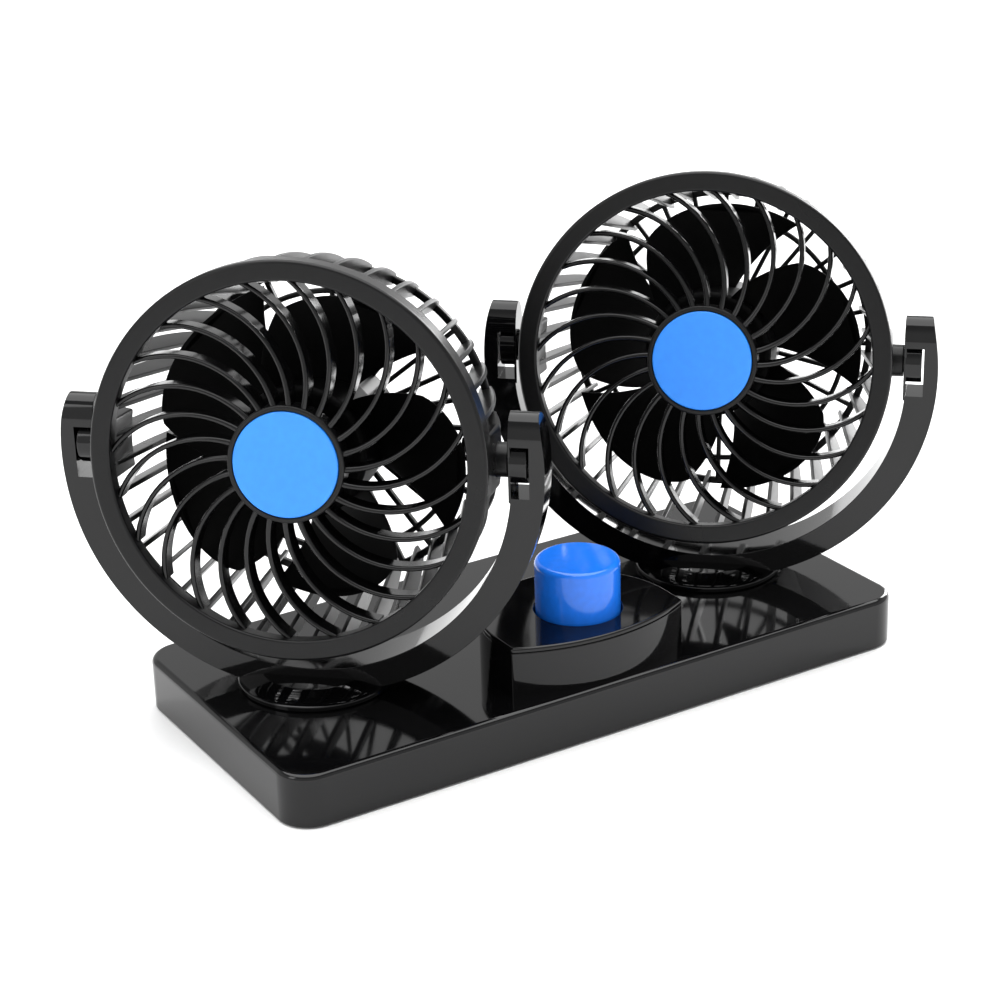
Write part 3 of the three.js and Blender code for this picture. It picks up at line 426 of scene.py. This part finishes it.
def bevel(obj, width, segments=3, angle=35.0):
    modifier = obj.modifiers.new("edges", "BEVEL")
    modifier.width = width * MM
    modifier.segments = segments
    modifier.limit_method = "ANGLE"
    modifier.angle_limit = math.radians(angle)
    modifier.use_clamp_overlap = True
    apply_modifiers(obj)


def combine(obj, others, operation):
    for other in others:
        modifier = obj.modifiers.new("combine", "BOOLEAN")
        modifier.operation = operation
        modifier.solver = "EXACT"
        modifier.object = other
        apply_modifiers(obj)
        bpy.data.objects.remove(other)
    return obj


def shade(obj):
    """Smooth shading that keeps true edges crisp and flat faces flat."""
    obj.data.shade_smooth()
    obj.data.set_sharp_from_angle(angle=SHARP_ANGLE)
    weighted = obj.modifiers.new("weighted", "WEIGHTED_NORMAL")
    weighted.keep_sharp = True
    apply_modifiers(obj)


def skin(rings, closed=False):
    """Points and faces through a row of equal rings, closed on itself or capped at both ends."""
    count = len(rings[0])
    points = [point for ring in rings for point in ring]
    faces = []
    last = len(rings) if closed else len(rings) - 1
    for level in range(last):
        low = level * count
        high = (level + 1) % len(rings) * count
        for i in range(count):
            j = (i + 1) % count
            faces.append((low + i, low + j, high + j, high + i))
    if not closed:
        faces.append(tuple(range(count))[::-1])
        faces.append(tuple(range(len(points) - count, len(points))))
    return points, faces


def lathe(name, corners, sides=128, steps=4):
    """A solid of revolution about Z from a closed outline of (radius, height, fillet) corners."""
    outline = rounded(corners, steps)
    rings = []
    for k in range(sides):
        turn = 2 * math.pi * k / sides
        rings.append([(r * math.cos(turn), r * math.sin(turn), z) for r, z in outline])
    return mesh_object(name, *skin(rings, closed=True))


def stacked(name, outline_at, levels):
    """A solid skinned through one outline at several (inset, height) levels."""
    return mesh_object(name, *skin([[(x, y, z) for x, y in outline_at(inset)] for inset, z in levels]))


def plate(name, outline, low, high, place):
    """A flat outline carried from low to high, each corner sent through place(a, b, c)."""
    return mesh_object(name, *skin([[place(a, b, c) for a, b in outline] for c in (low, high)]))


def block(name, x0, x1, y0, y1, z0, z1):
    outline = [(x0, y0), (x1, y0), (x1, y1), (x0, y1)]
    return plate(name, outline, z0, z1, lambda a, b, c: (a, b, c))


def merged(name, objects):
    """One object from several, each with its own place."""
    work = bmesh.new()
    for obj in objects:
        start = len(work.verts)
        work.from_mesh(obj.data)
        work.verts.ensure_lookup_table()
        bmesh.ops.transform(work, matrix=obj.matrix_world, verts=work.verts[start:])
        bpy.data.objects.remove(obj)
    mesh = bpy.data.meshes.new(name)
    work.to_mesh(mesh)
    work.free()
    obj = bpy.data.objects.new(name, mesh)
    bpy.context.scene.collection.objects.link(obj)
    return obj


def repeated(obj, count, start=0.0):
    """The object copied round Z at equal angles and merged."""
    work = bmesh.new()
    for k in range(count):
        first = len(work.verts)
        work.from_mesh(obj.data)
        work.verts.ensure_lookup_table()
        turn = Matrix.Rotation(math.radians(start) + 2 * math.pi * k / count, 4, "Z")
        bmesh.ops.transform(work, matrix=turn, verts=work.verts[first:])
    work.to_mesh(obj.data)
    work.free()
    return obj


def rounded_rectangle(length, width, radius):
    def outline_at(inset):
        x = length / 2 - radius
        y = width / 2 - radius
        r = radius - inset
        return [
            *arc(x, -y, r, -QUARTER, 0, OUTLINE_STEPS),
            *arc(x, y, r, 0, QUARTER, OUTLINE_STEPS),
            *arc(-x, y, r, QUARTER, 2 * QUARTER, OUTLINE_STEPS),
            *arc(-x, -y, r, 2 * QUARTER, 3 * QUARTER, OUTLINE_STEPS),
        ]
    return outline_at


def edge_levels(z, radius, rising):
    """Levels of a quarter-round edge that ends a wall at height z, on its way up or down."""
    sign = -1 if rising else 1
    levels = []
    for i in range(EDGE_STEPS + 1):
        angle = QUARTER * i / EDGE_STEPS
        inset = radius * (1 - math.cos(angle))
        levels.append((inset, z + sign * radius * (1 - math.sin(angle))))
    return levels


def console_outline(inset):
    """Round behind, straight sides and a bowed front, with small rounds at the two front corners."""
    front_y = -BASE_DEPTH / 2 + CONSOLE_FRONT_MARGIN
    rear_centre = front_y + CONSOLE_DEPTH - CONSOLE_HALF_WIDTH
    half = CONSOLE_HALF_WIDTH - inset
    front_radius = CONSOLE_FRONT_RADIUS - inset
    front_centre = front_y + CONSOLE_FRONT_RADIUS
    corner = max(CONSOLE_FRONT_CORNER - inset, CONSOLE_LEAST_CORNER)
    lean = math.asin((half - corner) / (front_radius - corner))
    corner_x = half - corner
    corner_y = front_centre - (front_radius - corner) * math.cos(lean)
    return [
        *arc(0, rear_centre, half, 0, 2 * QUARTER, 3 * OUTLINE_STEPS),
        *arc(-corner_x, corner_y, corner, 2 * QUARTER, 3 * QUARTER - lean, CORNER_STEPS),
        *arc(0, front_centre, front_radius, -QUARTER - lean, -QUARTER + lean, 2 * OUTLINE_STEPS),
        *arc(corner_x, corner_y, corner, lean - QUARTER, 0, CORNER_STEPS),
    ]


def button_place():
    rear_centre = -BASE_DEPTH / 2 + CONSOLE_FRONT_MARGIN + CONSOLE_DEPTH - CONSOLE_HALF_WIDTH
    return Vector((BUTTON_SIDE_STEP, rear_centre + BUTTON_SETBACK, 0)) * MM


def base_shell():
    slab = stacked("shell_slab", rounded_rectangle(BASE_LENGTH, BASE_DEPTH, BASE_CORNER), [
        (SHELL_WALL, BASE_HEIGHT - SHELL_TOP),
        (SHELL_WALL, PAD_PROUD),
        *reversed(edge_levels(PAD_PROUD, BASE_FOOT_EDGE, rising=False)),
        *edge_levels(BASE_HEIGHT, BASE_EDGE, rising=True),
    ])
    wall_top = CONSOLE_HEIGHT - PANEL_THICKNESS - FIT
    wall = stacked("shell_console", console_outline, [
        (0, BASE_HEIGHT - FIT),
        *edge_levels(wall_top, CONSOLE_EDGE, rising=True),
        (SHELL_WALL, wall_top),
        (SHELL_WALL, BASE_HEIGHT - FIT),
    ])
    return merged("shell", [slab, wall])


def grip_pad():
    length = BASE_LENGTH - 2 * PAD_MARGIN_ENDS
    width = BASE_DEPTH - 2 * PAD_MARGIN_SIDES
    return stacked("pad", rounded_rectangle(length, width, PAD_CORNER), [
        *reversed(edge_levels(0, PAD_EDGE, rising=False)),
        (0, PAD_THICKNESS),
    ])


def switch_panel():
    underside = CONSOLE_HEIGHT - PANEL_THICKNESS
    panel = stacked("panel", console_outline, [
        (SHELL_WALL + FIT, underside - PANEL_CUT_DEPTH / 2),
        (SHELL_WALL + FIT, underside),
        *reversed(edge_levels(underside, CONSOLE_EDGE / 2, rising=False)),
        *edge_levels(CONSOLE_HEIGHT, PANEL_EDGE, rising=True),
    ])
    hole = lathe("hole", [
        (0, underside - PANEL_CUT_DEPTH, 0),
        (BUTTON_RADIUS + BUTTON_HOLE_GAP, underside - PANEL_CUT_DEPTH, 0),
        (BUTTON_RADIUS + BUTTON_HOLE_GAP, CONSOLE_HEIGHT - PANEL_HOLE_EDGE, 0),
        (BUTTON_RADIUS + BUTTON_HOLE_GAP + 2 * PANEL_HOLE_EDGE, CONSOLE_HEIGHT + PANEL_HOLE_EDGE, 0),
        (0, CONSOLE_HEIGHT + PANEL_HOLE_EDGE, 0),
    ])
    hole.location = button_place()
    bpy.context.view_layer.update()
    return combine(panel, [hole], "DIFFERENCE")


def push_button():
    button = lathe("button", [
        (0, CONSOLE_HEIGHT - BUTTON_SKIRT, 0),
        (BUTTON_RADIUS, CONSOLE_HEIGHT - BUTTON_SKIRT, 0),
        (BUTTON_RADIUS, BUTTON_TOP, BUTTON_EDGE),
        (0, BUTTON_TOP, 0),
    ], steps=BUTTON_STEPS)
    button.data.transform(Matrix.Translation(button_place()))
    return button


def cord_inlet():
    rear = -SHELL_WALL - FIT
    inlet = lathe("inlet", [
        (INLET_BORE, rear - INLET_LIP, 0),
        (INLET_RADIUS, rear - INLET_LIP, 0),
        (INLET_RADIUS, FIT, 0),
        (INLET_FLANGE_RADIUS, FIT, 0),
        (INLET_FLANGE_RADIUS, FIT + INLET_FLANGE_THICKNESS, INLET_EDGE),
        (INLET_BORE, FIT + INLET_FLANGE_THICKNESS, INLET_EDGE),
    ], sides=INLET_SIDES)
    low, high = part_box("cord_inlet")
    turn = Matrix.Rotation(-QUARTER, 4, "X")
    place = Vector((0, BASE_DEPTH / 2 * MM, (low.z + high.z) / 2))
    inlet.data.transform(Matrix.Translation(place) @ turn)
    return inlet


def turntable():
    """A thin disc whose top sweeps up to the foot of the yoke."""
    low = BASE_HEIGHT + FIT
    rim_top = low + TABLE_RIM
    flare = []
    for i in range(1, TABLE_STEPS + 1):
        share = i / TABLE_STEPS
        radius = TABLE_RADIUS + (TABLE_FLARE_RADIUS - TABLE_RADIUS) * share
        flare.append((radius, rim_top + TABLE_RISE * share ** TABLE_FLARE_POWER, 0))
    return lathe("table", [
        (0, low, 0),
        (TABLE_RADIUS, low, TABLE_EDGE / 2),
        (TABLE_RADIUS, rim_top, TABLE_EDGE),
        *flare,
        (0, rim_top + TABLE_RISE, 0),
    ])


def yoke():
    """A U of two circles with oval tops and a window through each arm, about the tilt axis."""
    outer_turn = math.asin((ARM_RISE + YOKE_OUTER_DROP) / YOKE_OUTER_RADIUS)
    inner_turn = math.asin((YOKE_INNER_DROP - ARM_BOSS_DROP) / YOKE_INNER_RADIUS)
    outline = [
        *arc(0, -YOKE_OUTER_DROP, YOKE_OUTER_RADIUS, -math.pi - outer_turn, outer_turn, YOKE_STEPS),
        (ARM_INNER_FACE, ARM_RISE),
        (ARM_INNER_FACE, -ARM_BOSS_DROP),
        *arc(0, -YOKE_INNER_DROP, YOKE_INNER_RADIUS, inner_turn, -math.pi - inner_turn, YOKE_STEPS),
        (-ARM_INNER_FACE, -ARM_BOSS_DROP),
        (-ARM_INNER_FACE, ARM_RISE),
    ]
    band = plate("yoke", outline, -YOKE_FOOT_DEPTH, YOKE_FOOT_DEPTH, lambda a, b, c: (a, c, b))
    half = YOKE_DEPTH / 2
    foot_half = YOKE_FOOT_DEPTH / 2
    bottom = YOKE_SEAT - axis_height()
    side = [(-half, -ARM_BOSS_DROP), (-foot_half, bottom), (foot_half, bottom), (half, -ARM_BOSS_DROP)]
    for i in range(ARM_CROWN_STEPS + 1):
        turn = math.pi * i / ARM_CROWN_STEPS
        side.append((half * math.cos(turn), WINDOW_TOP + (ARM_RISE - WINDOW_TOP) * math.sin(turn)))
    reach = YOKE_OUTER_RADIUS + CUT_ROOM
    sides = plate("sides", side, -reach, reach, lambda a, b, c: (c, a, b))
    combine(band, [sides], "INTERSECT")
    clean(band)
    bevel(band, YOKE_EDGE)
    windows = []
    for sign in (-1, 1):
        x0, x1 = sorted((sign * WINDOW_INNER, sign * WINDOW_OUTER))
        opening = block("window", x0, x1, -YOKE_DEPTH, YOKE_DEPTH, -WINDOW_BOTTOM, WINDOW_TOP)
        windows.append(opening)
    combine(band, windows, "DIFFERENCE")
    bevel(band, WINDOW_EDGE, segments=2, angle=70)
    return merged("yoke", [band, arm_drum(-1), arm_drum(1)])


def arm_drum(side):
    """The round bearing that stands in the window of an arm, with the hole for its tilt pin."""
    bore = PIN_JOURNAL_RADIUS + FIT
    drum = lathe("drum", [
        (bore, WINDOW_INNER - FIT, 0),
        (DRUM_RADIUS, WINDOW_INNER - FIT, 0),
        (DRUM_RADIUS, DRUM_END, DRUM_EDGE),
        (0, DRUM_END, 0),
        (0, PIN_JOURNAL_END + FIT, 0),
        (bore, PIN_JOURNAL_END + FIT, 0),
    ], sides=DRUM_SIDES)
    drum.data.transform(Matrix.Rotation(side * QUARTER, 4, "Y"))
    return drum


def axis_height():
    return joint("left_tilt")["pos_m"][2] / MM


def front_ring():
    inner_wall = RING_INNER + RING_INNER_WALL
    outer_wall = RING_OUTER - RING_OUTER_WALL
    parting = FACE_REACH - RING_DEPTH
    inside = FACE_REACH - RING_FACE_THICKNESS
    return lathe("ring", [
        (RING_INNER, parting, RING_INNER_WALL / 4),
        (inner_wall, parting, 0),
        (inner_wall, inside, 0),
        (outer_wall, inside, 0),
        (outer_wall, parting, 0),
        (RING_OUTER, parting, HOOP_EDGE),
        (RING_OUTER, FACE_REACH, RING_OUTER_EDGE),
        (RING_INNER, FACE_REACH, RING_INNER_EDGE),
    ], sides=RING_SIDES, steps=RING_STEPS)


def grille_hub():
    recess = DISC_RADIUS + FIT
    front = FACE_REACH + FIT
    floor = FACE_REACH + DISC_PROUD - DISC_THICKNESS - FIT
    return lathe("hub", [
        (0, floor - HUB_FLOOR, 0),
        (HUB_RADIUS - HUB_WALL, floor - HUB_FLOOR, 0),
        (HUB_RADIUS - HUB_WALL, front - HUB_DEPTH, 0),
        (HUB_RADIUS, front - HUB_DEPTH, HUB_EDGE / 2),
        (HUB_RADIUS, front, HUB_EDGE),
        (recess, front, HUB_EDGE / 3),
        (recess, floor, 0),
        (0, floor, 0),
    ])


def swirl_vane():
    """One vane: a round-fronted blade along a circular arc that swings from the hub out to the ring."""
    start = Vector((HUB_RADIUS, 0))
    sweep = math.radians(VANE_SWEEP)
    end = Vector((math.cos(sweep), math.sin(sweep))) * RING_INNER
    along = end - start
    chord = along.length
    radius = chord * chord / (8 * VANE_BOW) + VANE_BOW / 2
    aside = Vector((-along.y, along.x)).normalized()
    centre = (start + end) / 2 + aside * (radius - VANE_BOW)
    overlap = VANE_END_OVERLAP / radius
    first = math.atan2(start.y - centre.y, start.x - centre.x) - overlap
    last = math.atan2(end.y - centre.y, end.x - centre.x) + overlap
    rings = []
    for i in range(VANE_STEPS + 1):
        turn = first + (last - first) * i / VANE_STEPS
        share = i / VANE_STEPS
        sink = VANE_ROOT_SINK + share * (VANE_TIP_SINK - VANE_ROOT_SINK)
        half = VANE_THICKNESS / 2 + VANE_ROOT_GAIN * (1 - share) ** VANE_ROOT_POWER
        front = FACE_REACH - sink
        rear_half = half * VANE_REAR_SHARE
        section = [(-rear_half, front - VANE_DEPTH), (rear_half, front - VANE_DEPTH)]
        section += arc(0, front - half, half, 0, math.pi, VANE_ROUND_STEPS)
        rings.append([(centre.x + (radius + across) * math.cos(turn),
                       centre.y + (radius + across) * math.sin(turn), z) for across, z in section])
    return mesh_object("vane", *skin(rings))


def swirl_vanes():
    return repeated(swirl_vane(), VANE_COUNT, VANE_START)


def ring_and_hub():
    return merged("grille", [front_ring(), grille_hub()])


def hub_disc():
    rear = FACE_REACH + DISC_PROUD - DISC_THICKNESS
    return lathe("disc", [
        (0, rear, 0),
        (DISC_RADIUS, rear, 0),
        (DISC_RADIUS, rear + DISC_THICKNESS, DISC_EDGE),
        (0, rear + DISC_THICKNESS, 0),
    ])


def radial(a, b, c):
    """Radius, reach and sideways step of a radial plate as a point of the head."""
    return (a, c, b)


def cage_fin():
    """A side fin: its crest bows inward from the front hoop to a rounded tip behind the band."""
    front = HOOP_REAR + HOOP_DEPTH - FIN_FRONT_SINK
    rear = CAGE_REAR + FIN_TIP_ROUND
    crest = []
    for i in range(FIN_STEPS + 1):
        share = i / FIN_STEPS
        crest.append((FIN_CREST - FIN_DRAW * share ** 2, front + (rear - front) * share))
    tip = FIN_CREST - FIN_DRAW - FIN_TIP_ROUND
    outline = [
        (HOOP_INNER, front),
        *crest[:-1],
        *arc(tip, rear, FIN_TIP_ROUND, 0, -QUARTER, FIN_TIP_STEPS),
        (tip - FIN_REAR_WIDTH, CAGE_REAR),
    ]
    fin = plate("fin", outline, -FIN_THICKNESS / 2, FIN_THICKNESS / 2, radial)
    bevel(fin, FIN_EDGE, segments=2)
    return fin


def cage_rib():
    """A rib of the flat rear guard, from the band inward to the motor tube."""
    outer = (BAND_INNER + BAND_OUTER) / 2
    inner = TUBE_OUTER - FIT
    front = GUARD_REAR + RIB_DEPTH
    outline = [(outer, GUARD_REAR), (inner, GUARD_REAR), (inner, front), (outer, front)]
    rib = plate("rib", outline, -FIN_THICKNESS / 2, FIN_THICKNESS / 2, radial)
    bevel(rib, RIB_EDGE, segments=2)
    return rib


def cage_hoop(name, inner, outer, low, high, round_edge):
    return lathe(name, [
        (inner, low, round_edge),
        (outer, low, round_edge),
        (outer, high, round_edge),
        (inner, high, round_edge),
    ], sides=RING_SIDES, steps=HOOP_STEPS)


def motor_tube():
    """The tube round the motor and its cover, closed in front by the plate that the motor is screwed to."""
    front = MOUNT_REACH + RIB_DEPTH
    return lathe("tube", [
        (MOTOR_BOSS_HOLE, MOUNT_REACH, 0),
        (TUBE_INNER, MOUNT_REACH, 0),
        (TUBE_INNER, GUARD_REAR, TUBE_EDGE),
        (TUBE_OUTER, GUARD_REAR, TUBE_EDGE),
        (TUBE_OUTER, front, TUBE_EDGE),
        (MOTOR_BOSS_HOLE, front, TUBE_EDGE / 2),
    ])


def pivot_pad(side):
    outer = RING_OUTER - 2 * FIT
    front = HOOP_REAR + HOOP_DEPTH - FIT
    turn = math.asin(PAD_HALF_HEIGHT / outer)
    outline = [
        *arc(0, 0, outer, -turn, turn, PAD_STEPS),
        *arc(0, 0, outer - PAD_DEPTH, turn, -turn, PAD_STEPS),
    ]
    pad = plate("pad", outline, PAD_REAR_REACH, front, lambda a, b, c: (side * a, b, c))
    bevel(pad, PAD_BLOCK_EDGE)
    return pad


def rear_cage():
    guard_front = GUARD_REAR + RIB_DEPTH
    hoop_outer = RING_OUTER - FIT
    inner_hoop_inner = INNER_HOOP_OUTER - INNER_HOOP_WIDTH
    pieces = [
        cage_hoop("front_hoop", HOOP_INNER, hoop_outer, HOOP_REAR, HOOP_REAR + HOOP_DEPTH, HOOP_EDGE),
        cage_hoop("band", BAND_INNER, BAND_OUTER, GUARD_REAR, guard_front, BAND_EDGE),
        cage_hoop("inner_hoop", inner_hoop_inner, INNER_HOOP_OUTER, GUARD_REAR, guard_front, HOOP_ROUND),
        motor_tube(),
        repeated(cage_fin(), FIN_COUNT, FIN_START),
        repeated(cage_rib(), RIB_COUNT),
        pivot_pad(-1),
        pivot_pad(1),
    ]
    return merged("cage", pieces)


def tilt_pin(side):
    """A pin with its collar beside the cage and its journal in the drum of the arm."""
    outer = RING_OUTER - 2 * FIT
    collar_end = ARM_INNER_FACE - FIT
    pin = lathe("pin", [
        (0, outer - PAD_DEPTH, 0),
        (PIN_SHANK_RADIUS, outer - PAD_DEPTH, 0),
        (PIN_SHANK_RADIUS, outer - PIN_COLLAR_SEAT, 0),
        (PIN_COLLAR_RADIUS, outer - PIN_COLLAR_SEAT, 0),
        (PIN_COLLAR_RADIUS, collar_end, PIN_EDGE),
        (PIN_JOURNAL_RADIUS, collar_end, 0),
        (PIN_JOURNAL_RADIUS, PIN_JOURNAL_END, 0),
        (0, PIN_JOURNAL_END, 0),
    ], sides=PIN_SIDES)
    pin.data.transform(Matrix.Rotation(side * QUARTER, 4, "Y"))
    return pin


def motor_cover():
    """The cup over the motor, with a hole for its lead."""
    top = MOUNT_REACH - FIT
    corners = rounded([
        (COVER_WIRE_HOLE, COVER_REAR_REACH, COVER_RIM_EDGE),
        (COVER_RADIUS, COVER_REAR_REACH, COVER_EDGE),
        (COVER_RADIUS, top, COVER_RIM_EDGE),
        (COVER_INNER_RADIUS, top, 0),
        (COVER_INNER_RADIUS, COVER_REAR_REACH + COVER_WALL, 0),
        (COVER_WIRE_HOLE, COVER_REAR_REACH + COVER_WALL, 0),
    ], COVER_STEPS)
    return lathe("cover", [(r, z, 0) for r, z in corners])


def rotor_cup():
    web = CUP_FRONT - CUP_WALL
    return lathe("cup", [
        (0, web, 0),
        (CUP_RADIUS - CUP_WALL, web, CUP_INNER_EDGE),
        (CUP_RADIUS - CUP_WALL, CUP_REAR, CUP_RIM_EDGE),
        (CUP_RADIUS, CUP_REAR, CUP_RIM_EDGE),
        (CUP_RADIUS, CUP_FRONT, CUP_EDGE),
        (0, CUP_FRONT, 0),
    ], steps=CUP_STEPS)


def blade_point(across, out):
    root = CUP_RADIUS - BLADE_ROOT_SINK
    corner = BLADE_CORNER_SHARE * across ** BLADE_CORNER_POWER * (BLADE_TIP - root)
    radius = root + (BLADE_TIP - root - corner) * out
    rear_degrees = BLADE_ROOT_REAR_DEGREES + (BLADE_TIP_REAR_DEGREES - BLADE_ROOT_REAR_DEGREES) * out
    front_degrees = BLADE_ROOT_FRONT_DEGREES + (BLADE_TIP_FRONT_DEGREES - BLADE_ROOT_FRONT_DEGREES) * out
    angle = math.radians(rear_degrees + (front_degrees - rear_degrees) * across)
    reach = BLADE_REAR + (BLADE_FRONT - BLADE_REAR) * across
    return Vector((radius * math.cos(angle), radius * math.sin(angle), reach))


def rotor_blade():
    """A broad helical blade, thick along its middle and thin round its rim."""
    rings = []
    for j in range(BLADE_STEPS_OUT + 1):
        out = j / BLADE_STEPS_OUT
        front, rear = [], []
        for i in range(BLADE_STEPS_ACROSS + 1):
            across = i / BLADE_STEPS_ACROSS
            share = math.sin(math.pi * across) ** BLADE_SWELL_POWER
            half = (BLADE_EDGE_THICKNESS + (BLADE_THICKNESS - BLADE_EDGE_THICKNESS) * share) / 2
            point = blade_point(across, out)
            front.append((point.x, point.y, point.z + half))
            rear.append((point.x, point.y, point.z - half))
        rings.append(front + rear[::-1])
    blade = mesh_object("blade", *skin(rings))
    bevel(blade, BLADE_BEVEL, segments=2, angle=50)
    return blade


def rotor():
    return merged("rotor", [rotor_cup(), repeated(rotor_blade(), BLADE_COUNT)])


def joint(name):
    return next(j for j in frame["joints"] if j["name"] == name)


def stand_matrix(side):
    """The frame of a stand: foot of the swivel axis, x along the tilt axis, z up."""
    along = -Vector(joint(side + "_tilt")["axis"])
    foot = Vector(joint(side + "_tilt")["pos_m"])
    up = Vector((0, 0, 1))
    across = up.cross(along)
    rotation = Matrix((along, across, up)).transposed().to_4x4()
    return Matrix.Translation((foot.x, foot.y, 0)) @ rotation


def head_matrix(side):
    """The frame of a head: x along the tilt axis, y up in the ring's plane, z out of its front."""
    along = -Vector(joint(side + "_tilt")["axis"])
    facing = Vector(joint(side + "_spin")["axis"])
    up = facing.cross(along)
    rotation = Matrix((along, up, facing)).transposed().to_4x4()
    return Matrix.Translation(Vector(joint(side + "_tilt")["pos_m"])) @ rotation


def put(source, name, matrix, body, node, finish):
    """A shaded copy of a shape in its place, standing for one CAD node."""
    mesh = source.data.copy()
    mesh.transform(matrix)
    obj = bpy.data.objects.new(name, mesh)
    bpy.context.scene.collection.objects.link(obj)
    shade(obj)
    obj.data.materials.clear()
    obj.data.materials.append(finishes[finish])
    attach(obj, body)
    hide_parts(node)


def build_base():
    makers = [
        (base_shell, "base_shell", "gloss_black", "base"),
        (grip_pad, "grip_pad", "black_rubber", "base"),
        (switch_panel, "switch_panel", "gloss_black", "base"),
        (cord_inlet, "cord_inlet", "black_rubber", "base"),
        (push_button, "push_button", "blue_gloss", "button"),
    ]
    for make, node, slot, body in makers:
        shape = make()
        put(shape, "look_" + node, Matrix.Identity(4), body, node, slot)
        bpy.data.objects.remove(shape)


def build_fans():
    lift = Matrix.Translation((0, 0, axis_height() * MM))
    makers = [
        (turntable, "turntable", "gloss_black", "stand"),
        (yoke, "yoke", "gloss_black", "stand"),
        (ring_and_hub, "front_grille", "satin_black", "head"),
        (swirl_vanes, "vanes", "satin_black", "head"),
        (hub_disc, "hub_disc", "blue_satin", "head"),
        (rear_cage, "rear_cage", "satin_black", "head"),
        (motor_cover, "motor_cover", "satin_black", "head"),
        (lambda: tilt_pin(-1), "tilt_pin_1", "satin_black", "head"),
        (lambda: tilt_pin(1), "tilt_pin_2", "satin_black", "head"),
        (rotor, "rotor", "satin_black", "impeller"),
    ]
    for make, part, slot, carrier in makers:
        shape = make()
        for side in ("left", "right"):
            if carrier == "stand":
                place = stand_matrix(side)
            else:
                place = head_matrix(side)
            if part == "yoke":
                place = place @ lift
            if part == "rotor":
                place = place @ Matrix.Rotation(math.radians(ROTOR_ANGLES[side]), 4, "Z")
            # The rotor takes the darker copy of the black plastic as painted shade for its place inside the cage
            finish = {"rotor": "painted_shade_black", "vanes": "vane_black"}.get(part, slot)
            node = "front_grille" if part == "vanes" else part
            put(shape, f"look_{side}_{part}", place, f"{side}_{carrier}", f"{side}_{node}", finish)
        bpy.data.objects.remove(shape)


def dress_carried_nodes():
    """The sealed inner pieces keep their CAD shapes and get the finish of their slot."""
    slots = {part["node"]: part["material_slot"] for part in frame["record"]["subparts"]}
    for name, obj in frame["nodes"].items():
        obj.data.materials.clear()
        obj.data.materials.append(finishes[slots[name]])


def build_floor():
    size = FLOOR_HALF_SIZE
    mesh = bpy.data.meshes.new("floor")
    corners = [(-size, -size, 0), (size, -size, 0), (size, size, 0), (-size, size, 0)]
    mesh.from_pydata(corners, [], [(0, 1, 2, 3)])
    floor = bpy.data.objects.new("floor", mesh)
    bpy.context.scene.collection.objects.link(floor)
    paint = material("floor_white", (0.9, 0.9, 0.9), 0.85, grain=0.002, grain_size=2.0, tint=0.004,
                     cloud=0.02, specular=0.1)
    floor.data.materials.append(paint)


def soft_box(name, place, size, power):
    light = bpy.data.lights.new(name, "AREA")
    light.shape = "RECTANGLE"
    light.size, light.size_y = size
    light.energy = power
    lamp = bpy.data.objects.new(name, light)
    bpy.context.scene.collection.objects.link(lamp)
    lamp.location = place
    lamp.rotation_euler = (Vector(BOX_TARGET) - Vector(place)).to_track_quat("-Z", "Y").to_euler()


def overhead_light():
    """A very broad, even light from above that keeps the whole floor white."""
    light = bpy.data.lights.new("overhead", "SUN")
    light.energy = OVERHEAD_STRENGTH
    light.angle = math.radians(OVERHEAD_SPREAD_DEGREES)
    lamp = bpy.data.objects.new("overhead", light)
    bpy.context.scene.collection.objects.link(lamp)
    lamp.rotation_euler = (*[math.radians(degrees) for degrees in OVERHEAD_TILT_DEGREES], 0)


def build_light():
    """A white tent, a little darker overhead, with one broad light above and soft boxes at the sides."""
    world = bpy.data.worlds.new("studio")
    bpy.context.scene.world = world
    world.use_nodes = True
    nodes = world.node_tree.nodes
    links = world.node_tree.links
    backdrop = nodes["Background"]
    backdrop.inputs["Strength"].default_value = 1.0
    place = nodes.new("ShaderNodeTexCoord")
    split = nodes.new("ShaderNodeSeparateXYZ")
    links.new(place.outputs["Generated"], split.inputs["Vector"])
    ramp = nodes.new("ShaderNodeValToRGB")
    ramp.color_ramp.elements[0].position = TENT_LOW_HEIGHT
    ramp.color_ramp.elements[0].color = TENT_LOW_TONE
    ramp.color_ramp.elements[1].position = TENT_HIGH_HEIGHT
    ramp.color_ramp.elements[1].color = TENT_HIGH_TONE
    links.new(split.outputs["Z"], ramp.inputs["Fac"])
    links.new(ramp.outputs["Color"], backdrop.inputs["Color"])
    overhead_light()
    soft_box("right_box", RIGHT_BOX_PLACE, RIGHT_BOX_SIZE, RIGHT_BOX_POWER)
    soft_box("left_box", LEFT_BOX_PLACE, LEFT_BOX_SIZE, LEFT_BOX_POWER)


def build_camera():
    azimuth = math.radians(CAMERA_AZIMUTH)
    elevation = math.radians(CAMERA_ELEVATION)
    roll = math.radians(CAMERA_ROLL)
    forward = Vector((-math.sin(azimuth) * math.cos(elevation), math.cos(azimuth) * math.cos(elevation),
                      -math.sin(elevation)))
    level = forward.cross(Vector((0, 0, 1))).normalized()
    above = level.cross(forward)
    right = level * math.cos(roll) + above * math.sin(roll)
    up = right.cross(forward)
    eye = Vector(CAMERA_TARGET) - forward * CAMERA_DISTANCE
    data = bpy.data.cameras.new("camera")
    data.sensor_width = SENSOR_WIDTH
    data.lens = CAMERA_LENS
    data.clip_start = CAMERA_CLIP_START
    camera = bpy.data.objects.new("camera", data)
    bpy.context.scene.collection.objects.link(camera)
    camera.matrix_world = Matrix.Translation(eye * MM) @ Matrix((right, up, -forward)).transposed().to_4x4()
    bpy.context.scene.camera = camera


finishes = make_materials()
dress_carried_nodes()
build_base()
build_fans()
build_floor()
build_light()
build_camera()
bpy.context.scene.view_settings.view_transform = "Standard"
